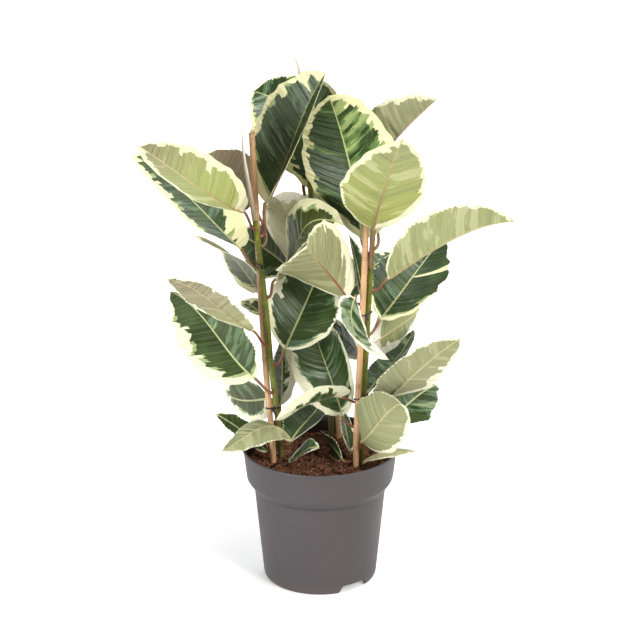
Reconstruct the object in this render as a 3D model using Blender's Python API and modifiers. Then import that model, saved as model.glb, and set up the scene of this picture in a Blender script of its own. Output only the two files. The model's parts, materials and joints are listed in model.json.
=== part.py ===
# A variegated rubber plant in a plastic nursery pot: three stems tied to bamboo canes, with broad leaves.
# Metres, +Z up. The origin is at the centre of the pot's base, and the front of the plant faces -Y.
from math import atan2, cos, pi, radians, sin, tau

import bmesh
import bpy
import numpy as np

# Gap kept between any two pieces that would touch
GAP = 0.0004

# Pot
POT_HEIGHT = 0.189
RIM_RADIUS = 0.105
COLLAR_FOOT_RADIUS = 0.0995
COLLAR_FOOT_HEIGHT = 0.1435
BODY_TOP_RADIUS = 0.0898
BODY_TOP_HEIGHT = 0.129
BASE_RADIUS = 0.0767
POT_WALL = 0.0018
FLOOR_LIFT = 0.012
CENTRE_PAD_RADIUS = 0.029
POT_STEPS = 48
NOTCHES = 2
NOTCH_WIDTH = 0.041
NOTCH_HEIGHT = 0.011
FIRST_NOTCH = radians(-53)

# Soil
SOIL_LEVEL = 0.165
SOIL_LUMP = 0.0018
HOLE_DEPTH = 0.065
HOLE_CLEARANCE = 0.0011
HOLE_SIDES = 12

# Stems and canes, each through these points from its buried end to its top
STEM_RADIUS = 0.0042
STEM_TIP_SHARE = 0.84
STEM_RINGS = 19
RINGS_PER_STEM_NODE = 3
CANE_RADIUS = 0.0040
CANE_RINGS = 13
RINGS_PER_CANE_NODE = 4
NODE_SWELL = 1.07
TIE_RADIUS = 0.0006
TIE_SLACK = 0.0004
TIE_HALF_STEPS = 6
SHEATH_RADIUS = 0.0032
SHEATH_TIP_RADIUS = 0.0005
SHEATH_RINGS = 8
STEMS = {
    "left": [
        (-0.0523, 0.002, 0.101), (-0.0523, 0.002, 0.15), (-0.0523, 0.002, 0.168), (-0.0598, 0, 0.254),
        (-0.0661, 0, 0.312), (-0.0697, 0, 0.362), (-0.0752, 0, 0.421), (-0.0816, 0, 0.478),
        (-0.0849, 0, 0.507),
    ],
    "right": [
        (0.0569, -0.0125, 0.101), (0.0569, -0.0125, 0.15), (0.0569, -0.0125, 0.168),
        (0.059, -0.01, 0.28), (0.0629, -0.01, 0.365), (0.0668, -0.01, 0.454), (0.0696, -0.01, 0.501),
    ],
    "back": [
        (0.016, 0.073, 0.101), (0.016, 0.073, 0.15), (0.016, 0.073, 0.168), (0.01, 0.09, 0.27),
        (0.004, 0.1, 0.36), (-0.006, 0.089, 0.46), (-0.016, 0.068, 0.56), (-0.022, 0.052, 0.64),
    ],
}
CANES = {
    "left": [
        (-0.0632, -0.01, 0.103), (-0.0632, -0.01, 0.15), (-0.0632, -0.01, 0.168),
        (-0.0721, 0.004, 0.288), (-0.0779, 0.0076, 0.387), (-0.0805, 0.0094, 0.447),
        (-0.0845, 0.0105, 0.54), (-0.0885, 0.0125, 0.622),
    ],
    "right": [
        (0.0482, -0.0235, 0.103), (0.0482, -0.0235, 0.15), (0.0482, -0.0235, 0.168),
        (0.053, -0.021, 0.327), (0.0565, -0.02, 0.404), (0.0593, -0.019, 0.501),
        (0.0602, -0.0185, 0.55),
    ],
    "back": [
        (0.026, 0.071, 0.103), (0.026, 0.071, 0.15), (0.026, 0.071, 0.168), (0.0208, 0.0905, 0.27),
        (0.015, 0.1005, 0.36), (0.0045, 0.0965, 0.44),
    ],
}
TIE_HEIGHTS = {"left": (0.243, 0.447), "right": (0.265, 0.383), "back": (0.255, 0.374)}
# The closed pointed sheath round each stem's growing tip
SHEATHS = {
    "left": [
        (-0.0852, 0, 0.508), (-0.0905, -0.002, 0.545), (-0.0985, -0.004, 0.6), (-0.101, -0.004, 0.641),
    ],
    "right": [
        (0.0698, -0.01, 0.502), (0.0735, -0.01, 0.53), (0.0765, -0.012, 0.56), (0.079, -0.014, 0.59),
    ],
    "back": [
        (-0.0221, 0.0518, 0.6409), (-0.025, 0.05, 0.668), (-0.027, 0.052, 0.695),
        (-0.0402, 0.055, 0.729),
    ],
}

# Leaves
LEAF_THICKNESS = 0.0009
# A petiole is this thick, and this much thicker for each metre of its blade's width
PETIOLE_RADIUS = 0.0011
PETIOLE_GROWTH = 0.011
PETIOLE_STEPS = 3
PETIOLE_BEND = 0.35
LEAST_HALF_WIDTH = 0.0012
# Where the rings of a blade lie along its midrib, closer together towards both ends
BLADE_RINGS = (0.0, 0.04, 0.12, 0.23, 0.35, 0.48, 0.61, 0.74, 0.86, 0.95, 1.0)
SMALL_BLADE_RINGS = (0.0, 0.05, 0.15, 0.32, 0.50, 0.68, 0.83, 0.94, 1.0)
SMALL_LEAF_WIDTH = 0.046

# Each leaf: the stem it grows from and the height there, where its blade begins and ends, and the blade's width.
# bow and sway say how far the midrib bends off the straight line at one and two thirds of the way, towards the
# topside and towards the right-hand edge. In degrees, roll turns the blade about that line, twist turns it from
# base to tip, fold lifts its left and right halves from the midrib, and curl bends them further to their edges.
# leaves_at is the compass direction in which the petiole leaves the stem, where it isn't the blade's own.
LEAVES = {
    "leaf_left_01": dict(
        stem="left", joint=0.498, base=(-0.099, -0.039, 0.532), tip=(-0.224, -0.114, 0.641), width=0.087,
        bow=(-0.040, 0.022), sway=(-0.013, 0.013), roll=57, twist=1,
        fold=(9, 23), curl=(8, 24)),
    "leaf_left_02": dict(
        stem="left", joint=0.484, base=(-0.071, 0.006, 0.527), tip=(0.009, -0.020, 0.712), width=0.120,
        bow=(-0.018, 0), sway=(-0.014, -0.018), roll=51, twist=16,
        fold=(19, 23), curl=(12, 22)),
    "leaf_left_03": dict(
        stem="left", joint=0.470, base=(-0.089, 0.031, 0.519), tip=(-0.152, 0.114, 0.565), width=0.082,
        bow=(0.003, 0.006), sway=(-0.002, -0.002), roll=117, twist=0,
        fold=(10, 9), curl=(9, 9), leaves_at=30),
    "leaf_left_04": dict(
        stem="left", joint=0.441, base=(-0.105, 0.007, 0.467), tip=(-0.242, -0.011, 0.599), width=0.098,
        bow=(0.044, -0.023), sway=(0.032, 0.006), roll=-117, twist=12,
        fold=(-16, -1), curl=(-14, -1)),
    "leaf_left_05": dict(
        stem="left", joint=0.385, base=(-0.082, 0.031, 0.396), tip=(-0.169, 0.046, 0.472), width=0.077,
        bow=(-0.013, -0.019), sway=(0, 0.009), roll=-139, twist=-58,
        fold=(-2, 9), curl=(-1, 9), leaves_at=78),
    "leaf_left_06": dict(
        stem="left", joint=0.401, base=(-0.058, -0.006, 0.428), tip=(0.032, -0.011, 0.505), width=0.099,
        bow=(-0.015, 0.074), sway=(-0.006, -0.011), roll=8, twist=66,
        fold=(13, 4), curl=(11, 4)),
    "leaf_left_07": dict(
        stem="left", joint=0.352, base=(-0.072, 0.016, 0.366), tip=(-0.107, 0.057, 0.375), width=0.031,
        bow=(0.002, 0.004), sway=(0.001, 0.001), roll=-11, twist=-8,
        fold=(13, 14), curl=(13, 13), leaves_at=95),
    "leaf_left_08": dict(
        stem="left", joint=0.336, base=(-0.089, -0.042, 0.370), tip=(-0.195, -0.123, 0.470), width=0.069,
        bow=(-0.007, 0.020), sway=(-0.007, -0.002), roll=25, twist=26,
        fold=(-2, -2), curl=(-2, -2), leaves_at=-115),
    "leaf_left_09": dict(
        stem="left", joint=0.303, base=(-0.047, 0.005, 0.325), tip=(0.003, 0.075, 0.425), width=0.104,
        bow=(0.004, 0.008), sway=(0.001, 0.004), roll=30, twist=-19,
        fold=(14, 16), curl=(12, 16)),
    "leaf_left_10": dict(
        stem="left", joint=0.267, base=(-0.088, -0.010, 0.290), tip=(-0.197, -0.017, 0.416), width=0.102,
        bow=(0.012, -0.032), sway=(-0.002, 0.003), roll=-109, twist=-19,
        fold=(18, 14), curl=(12, 15), leaves_at=-115),
    "leaf_left_11": dict(
        stem="left", joint=0.228, base=(-0.054, 0.035, 0.231), tip=(-0.051, 0.048, 0.329), width=0.046,
        bow=(0.004, -0.002), sway=(0.001, 0.001), roll=55, twist=5,
        fold=(9, 9), curl=(9, 9), leaves_at=60),
    "leaf_left_12": dict(
        stem="left", joint=0.238, base=(-0.068, 0.016, 0.250), tip=(-0.134, 0.085, 0.236), width=0.07,
        bow=(0.002, 0.018), sway=(-0.008, -0.010), roll=-116, twist=-8,
        fold=(6, -7), curl=(6, -6)),
    "leaf_left_13": dict(
        stem="right", joint=0.254, base=(0.027, -0.023, 0.268), tip=(-0.057, -0.112, 0.272), width=0.082,
        bow=(-0.001, -0.002), sway=(0.016, 0.020), roll=-133, twist=52,
        fold=(-14, -2), curl=(-10, -1), leaves_at=190),
    "leaf_left_14": dict(
        stem="left", joint=0.200, base=(-0.040, -0.030, 0.207), tip=(-0.130, -0.080, 0.213), width=0.062,
        bow=(-0.053, -0.011), sway=(0.002, 0), roll=179, twist=12,
        fold=(3, 9), curl=(3, 9)),
    "leaf_left_15": dict(
        stem="left", joint=0.176, base=(-0.071, -0.002, 0.179), tip=(-0.141, -0.003, 0.235), width=0.040,
        bow=(0.004, 0.003), sway=(0.001, 0.002), roll=-22, twist=-6,
        fold=(6, 6), curl=(6, 6)),
    "leaf_left_16": dict(
        stem="left", joint=0.190, base=(-0.039, -0.013, 0.199), tip=(0, 0.070, 0.218), width=0.058,
        bow=(0.007, -0.002), sway=(0.001, 0.001), roll=-2, twist=11,
        fold=(15, 15), curl=(15, 15)),
    "leaf_left_17": dict(
        stem="left", joint=0.170, base=(-0.042, -0.010, 0.171), tip=(-0.001, -0.047, 0.204), width=0.039,
        bow=(-0.006, 0.011), sway=(-0.001, -0.005), roll=30, twist=7,
        fold=(7, 10), curl=(6, 10)),
    "leaf_right_01": dict(
        stem="right", joint=0.462, base=(0.055, 0.009, 0.478), tip=(0.011, -0.031, 0.683), width=0.128,
        bow=(0.009, -0.058), sway=(0.011, -0.002), roll=-137, twist=40,
        fold=(-11, -9), curl=(-7, -7)),
    "leaf_right_02": dict(
        stem="right", joint=0.448, base=(0.069, -0.030, 0.505), tip=(0.103, -0.093, 0.644), width=0.109,
        bow=(-0.006, 0.005), sway=(0.006, 0.003), roll=-22, twist=16,
        fold=(4, 3), curl=(4, 3)),
    "leaf_right_03": dict(
        stem="right", joint=0.470, base=(0.068, 0.031, 0.556), tip=(0.150, 0.007, 0.669), width=0.099,
        bow=(0.020, 0.011), sway=(0.003, -0.001), roll=-37, twist=-7,
        fold=(24, 27), curl=(24, 21), leaves_at=50),
    "leaf_right_04": dict(
        stem="right", joint=0.413, base=(0.089, -0.009, 0.430), tip=(0.254, -0.034, 0.517), width=0.092,
        bow=(0.006, 0.023), sway=(0.008, 0.013), roll=-44, twist=-6,
        fold=(20, 27), curl=(20, 22)),
    "leaf_right_05": dict(
        stem="right", joint=0.394, base=(0.038, -0.022, 0.407), tip=(-0.016, -0.126, 0.516), width=0.114,
        bow=(0.046, 0.002), sway=(0.005, 0.008), roll=44, twist=36,
        fold=(37, 15), curl=(23, 15), leaves_at=180),
    "leaf_right_06": dict(
        stem="right", joint=0.345, base=(0.063, 0.012, 0.361), tip=(0.038, 0.021, 0.481), width=0.039,
        bow=(0.001, 0.004), sway=(0, 0.001), roll=-2, twist=0,
        fold=(9, 10), curl=(9, 10)),
    "leaf_right_07": dict(
        stem="right", joint=0.351, base=(0.080, 0.005, 0.367), tip=(0.168, 0.109, 0.448), width=0.106,
        bow=(0.016, -0.008), sway=(0.011, -0.008), roll=10, twist=-10,
        fold=(4, 11), curl=(4, 10)),
    "leaf_right_08": dict(
        stem="right", joint=0.372, base=(0.045, -0.050, 0.418), tip=(0.088, -0.125, 0.361), width=0.074,
        bow=(-0.023, -0.026), sway=(0.021, 0.028), roll=-48, twist=14,
        fold=(7, -2), curl=(7, -1), leaves_at=175),
    "leaf_right_09": dict(
        stem="right", joint=0.322, base=(0.070, 0.009, 0.332), tip=(0.137, 0.096, 0.350), width=0.080,
        bow=(0, -0.008), sway=(0, 0.001), roll=-86, twist=-3,
        fold=(9, 9), curl=(9, 9)),
    "leaf_right_10": dict(
        stem="right", joint=0.316, base=(0.056, 0.001, 0.317), tip=(0.005, 0.076, 0.341), width=0.048,
        bow=(-0.006, -0.004), sway=(-0.003, -0.001), roll=-95, twist=4,
        fold=(4, 5), curl=(4, 5), leaves_at=150),
    "leaf_right_11": dict(
        stem="right", joint=0.252, base=(0.065, 0.004, 0.264), tip=(0.129, 0.097, 0.319), width=0.071,
        bow=(0.001, -0.013), sway=(0, -0.001), roll=-27, twist=-8,
        fold=(7, 9), curl=(7, 9)),
    "leaf_right_12": dict(
        stem="right", joint=0.244, base=(0.087, -0.012, 0.262), tip=(0.183, -0.071, 0.370), width=0.085,
        bow=(-0.041, -0.005), sway=(0.019, 0.012), roll=-55, twist=-14,
        fold=(13, -14), curl=(14, -10)),
    "leaf_right_13": dict(
        stem="right", joint=0.216, base=(0.030, 0.012, 0.226), tip=(-0.008, 0.098, 0.321), width=0.103,
        bow=(0.036, 0.044), sway=(0.007, 0.001), roll=-30, twist=0,
        fold=(27, 30), curl=(18, 31), leaves_at=150),
    "leaf_right_14": dict(
        stem="right", joint=0.205, base=(0.094, -0.005, 0.227), tip=(0.160, 0.054, 0.254), width=0.078,
        bow=(-0.003, 0.007), sway=(-0.002, -0.005), roll=20, twist=-23,
        fold=(9, 7), curl=(9, 7)),
    "leaf_right_15": dict(
        stem="right", joint=0.188, base=(0.056, -0.030, 0.207), tip=(0.106, -0.101, 0.290), width=0.083,
        bow=(-0.029, 0.017), sway=(-0.002, 0.010), roll=-59, twist=28,
        fold=(6, 15), curl=(6, 18)),
    "leaf_right_16": dict(
        stem="right", joint=0.176, base=(0.041, 0, 0.178), tip=(0.029, 0.052, 0.225), width=0.035,
        bow=(-0.001, 0.001), sway=(0, 0), roll=47, twist=7,
        fold=(6, 6), curl=(6, 6)),
    "leaf_right_17": dict(
        stem="right", joint=0.170, base=(0.029, -0.030, 0.181), tip=(0.001, 0.012, 0.204), width=0.039,
        bow=(-0.003, 0.001), sway=(-0.003, -0.001), roll=-103, twist=-36,
        fold=(-3, 5), curl=(-3, 5), leaves_at=180),
    "leaf_right_18": dict(
        stem="right", joint=0.172, base=(0.059, -0.030, 0.175), tip=(0.127, -0.062, 0.205), width=0.034,
        bow=(-0.013, -0.008), sway=(0.001, 0.002), roll=-175, twist=5,
        fold=(3, 9), curl=(3, 9)),
    "leaf_back_01": dict(
        stem="back", joint=0.495, base=(0.018, 0.073, 0.506), tip=(-0.027, 0.133, 0.674), width=0.115,
        bow=(0.024, 0.009), sway=(0.015, 0.018), roll=-57, twist=58,
        fold=(13, 23), curl=(10, 20)),
    "leaf_back_02": dict(
        stem="back", joint=0.485, base=(-0.023, 0.095, 0.537), tip=(-0.092, 0.178, 0.634), width=0.122,
        bow=(0.021, 0.038), sway=(0.029, 0.036), roll=-36, twist=35,
        fold=(8, 11), curl=(10, 11)),
    "leaf_back_03": dict(
        stem="back", joint=0.400, base=(-0.040, 0.055, 0.426), tip=(-0.062, 0.020, 0.533), width=0.092,
        bow=(-0.010, 0.038), sway=(-0.005, -0.005), roll=7, twist=48,
        fold=(21, 14), curl=(17, 14)),
    "leaf_back_04": dict(
        stem="back", joint=0.388, base=(-0.039, 0.074, 0.413), tip=(-0.112, 0.118, 0.450), width=0.077,
        bow=(-0.002, 0), sway=(0.005, 0.006), roll=-84, twist=6,
        fold=(7, 6), curl=(7, 6)),
    "leaf_back_05": dict(
        stem="back", joint=0.430, base=(-0.004, 0.108, 0.447), tip=(0.022, 0.238, 0.482), width=0.085,
        bow=(0.014, 0.014), sway=(0, 0.004), roll=-10, twist=0,
        fold=(12, 12), curl=(10, 10)),
    "leaf_back_06": dict(
        stem="back", joint=0.290, base=(-0.004, 0.118, 0.303), tip=(-0.030, 0.235, 0.318), width=0.080,
        bow=(0.014, 0.012), sway=(0, -0.004), roll=5, twist=0,
        fold=(12, 12), curl=(10, 10)),
    "leaf_back_07": dict(
        stem="back", joint=0.335, base=(0.030, 0.112, 0.350), tip=(0.105, 0.205, 0.395), width=0.075,
        bow=(0.013, 0.010), sway=(0, 0), roll=0, twist=0,
        fold=(12, 12), curl=(10, 10), leaves_at=100),
}


def clear_scene():
    for obj in list(bpy.data.objects):
        bpy.data.objects.remove(obj)


def make_material(name, colour, roughness, metallic=0.0):
    material = bpy.data.materials.new(name)
    material.use_nodes = True
    shader = material.node_tree.nodes["Principled BSDF"]
    shader.inputs["Base Color"].default_value = (*colour, 1)
    shader.inputs["Roughness"].default_value = roughness
    shader.inputs["Metallic"].default_value = metallic
    material.diffuse_color = (*colour, 1)
    return material


def add_object(name, data, collection, material=None):
    obj = bpy.data.objects.new(name, data)
    collection.objects.link(obj)
    if material:
        data.materials.append(material)
    return obj


def mesh_copy(obj, name, collection, material):
    """A plain mesh in the object's place, as its modifiers leave it, with its loose caps welded."""
    graph = bpy.context.evaluated_depsgraph_get()
    mesh = bpy.data.meshes.new_from_object(obj.evaluated_get(graph))
    matrix = obj.matrix_world.copy()
    bpy.data.objects.remove(obj)
    cleaner = bmesh.new()
    cleaner.from_mesh(mesh)
    bmesh.ops.remove_doubles(cleaner, verts=cleaner.verts, dist=1e-6)
    cleaner.to_mesh(mesh)
    cleaner.free()
    mesh.materials.clear()
    copy = add_object(name, mesh, collection, material)
    copy.matrix_world = matrix
    return copy


def turned(name, profile, collection, material):
    """A profile of (radius, height) pairs, running down its outer side, spun once round the pot's axis."""
    mesh = bpy.data.meshes.new(name)
    mesh.from_pydata([(r, 0, z) for r, z in profile], [(i, i + 1) for i in range(len(profile) - 1)], [])
    obj = add_object(name, mesh, collection)
    screw = obj.modifiers.new("Turn", "SCREW")
    screw.steps = POT_STEPS
    screw.render_steps = POT_STEPS
    screw.use_merge_vertices = True
    screw.merge_threshold = 1e-5
    bpy.context.view_layer.update()
    return mesh_copy(obj, name, collection, material)


def cut(obj, cutters):
    for cutter in cutters:
        cutter.hide_render = True
        cutter.display_type = "WIRE"
        boolean = obj.modifiers.new("Cut", "BOOLEAN")
        boolean.operation = "DIFFERENCE"
        boolean.object = cutter


def shade_round(obj, angle=40):
    obj.data.shade_smooth()
    obj.data.set_sharp_from_angle(angle=radians(angle))


def outer_radius(height):
    """The pot's outer radius at a height, as straight runs between its bends."""
    heights = (0.0, BODY_TOP_HEIGHT, COLLAR_FOOT_HEIGHT, POT_HEIGHT)
    radii = (BASE_RADIUS, BODY_TOP_RADIUS, COLLAR_FOOT_RADIUS, RIM_RADIUS)
    return float(np.interp(height, heights, radii))


def build_pot(collection, cutters):
    plastic = make_material("grey plastic", (0.125, 0.115, 0.112), 0.55)
    wall = POT_WALL
    inside = [
        (0, wall),
        (CENTRE_PAD_RADIUS - wall, wall),
        (CENTRE_PAD_RADIUS + 0.005, FLOOR_LIFT + wall),
        (BASE_RADIUS - 2.0 * wall, FLOOR_LIFT + wall),
        (BODY_TOP_RADIUS - wall, BODY_TOP_HEIGHT + 0.001),
        (COLLAR_FOOT_RADIUS - wall - 0.0008, COLLAR_FOOT_HEIGHT + 0.001),
        (RIM_RADIUS - wall - 0.0014, POT_HEIGHT - 0.006),
        (RIM_RADIUS - wall, POT_HEIGHT - 0.0012),
    ]
    rim = [
        (RIM_RADIUS - wall + 0.0006, POT_HEIGHT),
        (RIM_RADIUS - 0.0002, POT_HEIGHT),
        (RIM_RADIUS + 0.0004, POT_HEIGHT - 0.0008),
        (RIM_RADIUS + 0.0003, POT_HEIGHT - 0.0042),
        (RIM_RADIUS - 0.0009, POT_HEIGHT - 0.0050),
    ]
    outside = [
        (COLLAR_FOOT_RADIUS, COLLAR_FOOT_HEIGHT),
        (COLLAR_FOOT_RADIUS - 0.0018, COLLAR_FOOT_HEIGHT - 0.0030),
        (BODY_TOP_RADIUS + 0.0014, BODY_TOP_HEIGHT + 0.0022),
        (BODY_TOP_RADIUS, BODY_TOP_HEIGHT - 0.0020),
        (BASE_RADIUS + 0.0004, 0.0035),
        (BASE_RADIUS - 0.0014, 0.0),
        (BASE_RADIUS - 0.0042, 0.0),
        (BASE_RADIUS - 0.0055, FLOOR_LIFT),
        (CENTRE_PAD_RADIUS + 0.006, FLOOR_LIFT),
        (CENTRE_PAD_RADIUS, 0.0),
        (0, 0.0),
    ]
    pot = turned("pot", inside + rim + outside, collection, plastic)
    notches = []
    for number in range(NOTCHES):
        angle = FIRST_NOTCH + number * tau / NOTCHES
        cutter_mesh = bpy.data.meshes.new(f"notch_{number}")
        shape = bmesh.new()
        bmesh.ops.create_cube(shape, size=1)
        bmesh.ops.scale(shape, vec=(0.020, NOTCH_WIDTH, 2 * NOTCH_HEIGHT), verts=shape.verts)
        shape.to_mesh(cutter_mesh)
        shape.free()
        cutter = add_object(f"notch_{number}", cutter_mesh, cutters)
        cutter.location = (BASE_RADIUS * cos(angle), BASE_RADIUS * sin(angle), 0)
        cutter.rotation_euler.z = angle
        notches.append(cutter)
    cut(pot, notches)
    shade_round(pot)
    return pot


def soil_height(x, y):
    """Small lumps over the top of the soil, as a sum of waves at unlike angles."""
    waves = sin(91 * x + 1.3) * cos(83 * y - 0.4) + 0.7 * sin(171 * x - 139 * y) + 0.5 * cos(223 * y + 61 * x)
    return SOIL_LEVEL + SOIL_LUMP * waves / 1.4


def build_soil(collection, cutters):
    earth = make_material("potting soil", (0.060, 0.030, 0.020), 0.95)
    wall = POT_WALL + 0.0004
    top = [(radius, SOIL_LEVEL) for radius in (0, 0.012, 0.026, 0.040, 0.055, 0.070, 0.085)]
    profile = top + [
        (outer_radius(SOIL_LEVEL) - wall - 0.0022, SOIL_LEVEL - 0.002),
        (COLLAR_FOOT_RADIUS - wall - 0.0012, COLLAR_FOOT_HEIGHT + 0.001),
        (BODY_TOP_RADIUS - wall, BODY_TOP_HEIGHT + 0.001),
        (BASE_RADIUS - wall - 0.0022, FLOOR_LIFT + wall + 0.0002),
        (CENTRE_PAD_RADIUS + 0.005, FLOOR_LIFT + wall + 0.0002),
        (CENTRE_PAD_RADIUS - wall - 0.0006, wall),
        (0, wall),
    ]
    soil = turned("soil", profile, collection, earth)
    for vertex in soil.data.vertices:
        if vertex.co.z > SOIL_LEVEL - 0.001:
            vertex.co.z = soil_height(vertex.co.x, vertex.co.y)
    holes = []
    for kind, routes, radius in (("stem", STEMS, STEM_RADIUS), ("cane", CANES, CANE_RADIUS)):
        for side, route in routes.items():
            cutter_mesh = bpy.data.meshes.new(f"hole_{kind}_{side}")
            shape = bmesh.new()
            hole = radius + HOLE_CLEARANCE
            bmesh.ops.create_cone(shape, cap_ends=True, segments=HOLE_SIDES, radius1=hole, radius2=hole,
                                  depth=2 * HOLE_DEPTH)
            shape.to_mesh(cutter_mesh)
            shape.free()
            cutter = add_object(f"hole_{kind}_{side}", cutter_mesh, cutters)
            cutter.location = (route[0][0], route[0][1], SOIL_LEVEL)
            holes.append(cutter)
    cut(soil, holes)
    shade_round(soil)
    return soil


def unit(vectors):
    return vectors / np.linalg.norm(vectors, axis=-1, keepdims=True)


def smooth_route(points, steps):
    """Points along a smooth curve through the given ones, evenly spread by length."""
    points = np.array(points)
    spans = np.linalg.norm(np.diff(points, axis=0), axis=1)
    slopes = np.diff(points, axis=0) / spans[:, None]
    # at each inner point, the slope of the shorter neighbour counts for more
    tangents = [slopes[0]]
    for before, after, left, right in zip(slopes, slopes[1:], spans, spans[1:]):
        tangents.append((before * right + after * left) / (left + right))
    tangents.append(slopes[-1])
    fine = []
    for p, q, m, n, span in zip(points, points[1:], tangents, tangents[1:], spans):
        for t in np.arange(12) / 12:
            fine.append(p * (1 + 2 * t) * (1 - t) ** 2 + q * t * t * (3 - 2 * t)
                        + m * span * t * (1 - t) ** 2 - n * span * t * t * (1 - t))
    fine = np.array(fine + [points[-1]])
    lengths = np.concatenate(([0], np.cumsum(np.linalg.norm(np.diff(fine, axis=0), axis=1))))
    wanted = np.linspace(0, lengths[-1], steps)
    return np.stack([np.interp(wanted, lengths, fine[:, i]) for i in range(3)], axis=1)


def stem_radii():
    """A slight swelling at every third ring, where leaves have grown, and a gentle taper."""
    radii = []
    for i in range(STEM_RINGS):
        swell = 1.0 if i % RINGS_PER_STEM_NODE else NODE_SWELL
        radii.append(STEM_RADIUS * swell * (1 - (1 - STEM_TIP_SHARE) * i / (STEM_RINGS - 1)))
    return radii


def cane_radii():
    return [CANE_RADIUS * (1.0 if i % RINGS_PER_CANE_NODE else NODE_SWELL) for i in range(CANE_RINGS)]


def tube_at(route, radii, height):
    """The centre, direction and radius of a stem or cane at a height."""
    points = smooth_route(route, len(radii))
    heights = points[:, 2]
    centre = np.array([np.interp(height, heights, points[:, i]) for i in range(3)])
    above = int(np.searchsorted(heights, height))
    return centre, unit(points[above] - points[above - 1]), float(np.interp(height, heights, radii))


def tube(name, points, radii, collection, material, closed=False, resolution=2):
    curve = bpy.data.curves.new(name, "CURVE")
    curve.dimensions = "3D"
    curve.bevel_depth = 1.0
    curve.bevel_resolution = resolution
    curve.use_fill_caps = not closed
    spline = curve.splines.new("POLY")
    spline.points.add(len(points) - 1)
    for slot, point, radius in zip(spline.points, points, radii):
        slot.co = (*point, 1)
        slot.radius = radius
    spline.use_cyclic_u = closed
    obj = add_object(name, curve, collection)
    bpy.context.view_layer.update()
    return mesh_copy(obj, name, collection, material)


def build_stems(collection):
    bark = make_material("green stem", (0.10, 0.13, 0.018), 0.5)
    sheath_skin = make_material("bud sheath", (0.62, 0.45, 0.40), 0.5)
    for side, route in STEMS.items():
        shade_round(tube(f"stem_{side}", smooth_route(route, STEM_RINGS), stem_radii(), collection, bark))
    for side, route in SHEATHS.items():
        points = smooth_route(route, SHEATH_RINGS)
        taper = [(1 - i / (SHEATH_RINGS - 1)) ** 0.8 for i in range(SHEATH_RINGS)]
        radii = [SHEATH_RADIUS * share + SHEATH_TIP_RADIUS for share in taper]
        shade_round(tube(f"sheath_{side}", points, radii, collection, sheath_skin))


def build_canes(collection):
    bamboo = make_material("bamboo", (0.60, 0.34, 0.16), 0.5)
    for side, route in CANES.items():
        shade_round(tube(f"cane_{side}", smooth_route(route, CANE_RINGS), cane_radii(), collection, bamboo))


def build_ties(collection):
    wire = make_material("tie wire", (0.015, 0.015, 0.015), 0.4)
    clearance = GAP + TIE_RADIUS + TIE_SLACK
    for side, heights in TIE_HEIGHTS.items():
        for number, height in enumerate(heights, 1):
            stem, _, stem_radius = tube_at(STEMS[side], stem_radii(), height)
            cane, _, cane_radius = tube_at(CANES[side], cane_radii(), height)
            heading = atan2(cane[1] - stem[1], cane[0] - stem[0])
            loop = []
            # half a turn round the stem's far side, then half a turn round the cane's
            halves = ((stem, stem_radius, heading + pi / 2), (cane, cane_radius, heading - pi / 2))
            for centre, radius, start in halves:
                reach = radius + clearance
                for k in range(TIE_HALF_STEPS + 1):
                    angle = start + pi * k / TIE_HALF_STEPS
                    loop.append((centre[0] + reach * cos(angle), centre[1] + reach * sin(angle), height))
            radii = [TIE_RADIUS] * len(loop)
            tube(f"tie_{side}_{number}", loop, radii, collection, wire, closed=True, resolution=0)


def blade_profile(u):
    """Share of the full half-width along the blade: a rounded base, fullest before the middle, a pointed tip."""
    return np.sin(pi * np.clip(u, 0, 1) ** 0.87) ** 0.72


def midrib(leaf, u):
    """Midrib points with the blade's tangent, topside normal and right-hand direction at each."""
    base, tip = np.array(leaf["base"]), np.array(leaf["tip"])
    chord = tip - base
    along = unit(chord)
    level = unit(np.array([0, 0, 1.0]) - along[2] * along)
    roll = radians(leaf["roll"])
    normal = level * cos(roll) + np.cross(along, level) * sin(roll)
    side = np.cross(along, normal)
    near = base + chord / 3 + normal * leaf["bow"][0] + side * leaf["sway"][0]
    far = base + chord * 2 / 3 + normal * leaf["bow"][1] + side * leaf["sway"][1]
    u = np.asarray(u, float)[:, None]
    w = 1 - u
    points = w ** 3 * base + 3 * w ** 2 * u * near + 3 * w * u ** 2 * far + u ** 3 * tip
    tangents = unit(w ** 2 * (near - base) + 2 * w * u * (far - near) + u ** 2 * (tip - far))
    normals = unit(normal - (tangents @ normal)[:, None] * tangents)
    sides = np.cross(tangents, normals)
    turn = np.radians(leaf["twist"]) * (u - 0.5)
    normals = normals * np.cos(turn) + sides * np.sin(turn)
    return points, tangents, normals, np.cross(tangents, normals)


def blade_section(leaf, v):
    """Points across the blade, in half-widths to the side and up: a fold at the midrib, then an even curl."""
    fold = np.radians(np.where(v < 0, leaf["fold"][0], leaf["fold"][1]))
    curl = np.radians(np.where(v < 0, leaf["curl"][0], leaf["curl"][1]))
    curl = np.where(np.abs(curl) < 1e-3, 1e-3, curl)
    reach = np.abs(v)
    sideways = (np.sin(fold + curl * reach) - np.sin(fold)) / curl * np.sign(v)
    upwards = (np.cos(fold) - np.cos(fold + curl * reach)) / curl
    slope = (fold + curl * reach) * np.sign(v)
    return sideways, upwards, slope


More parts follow.
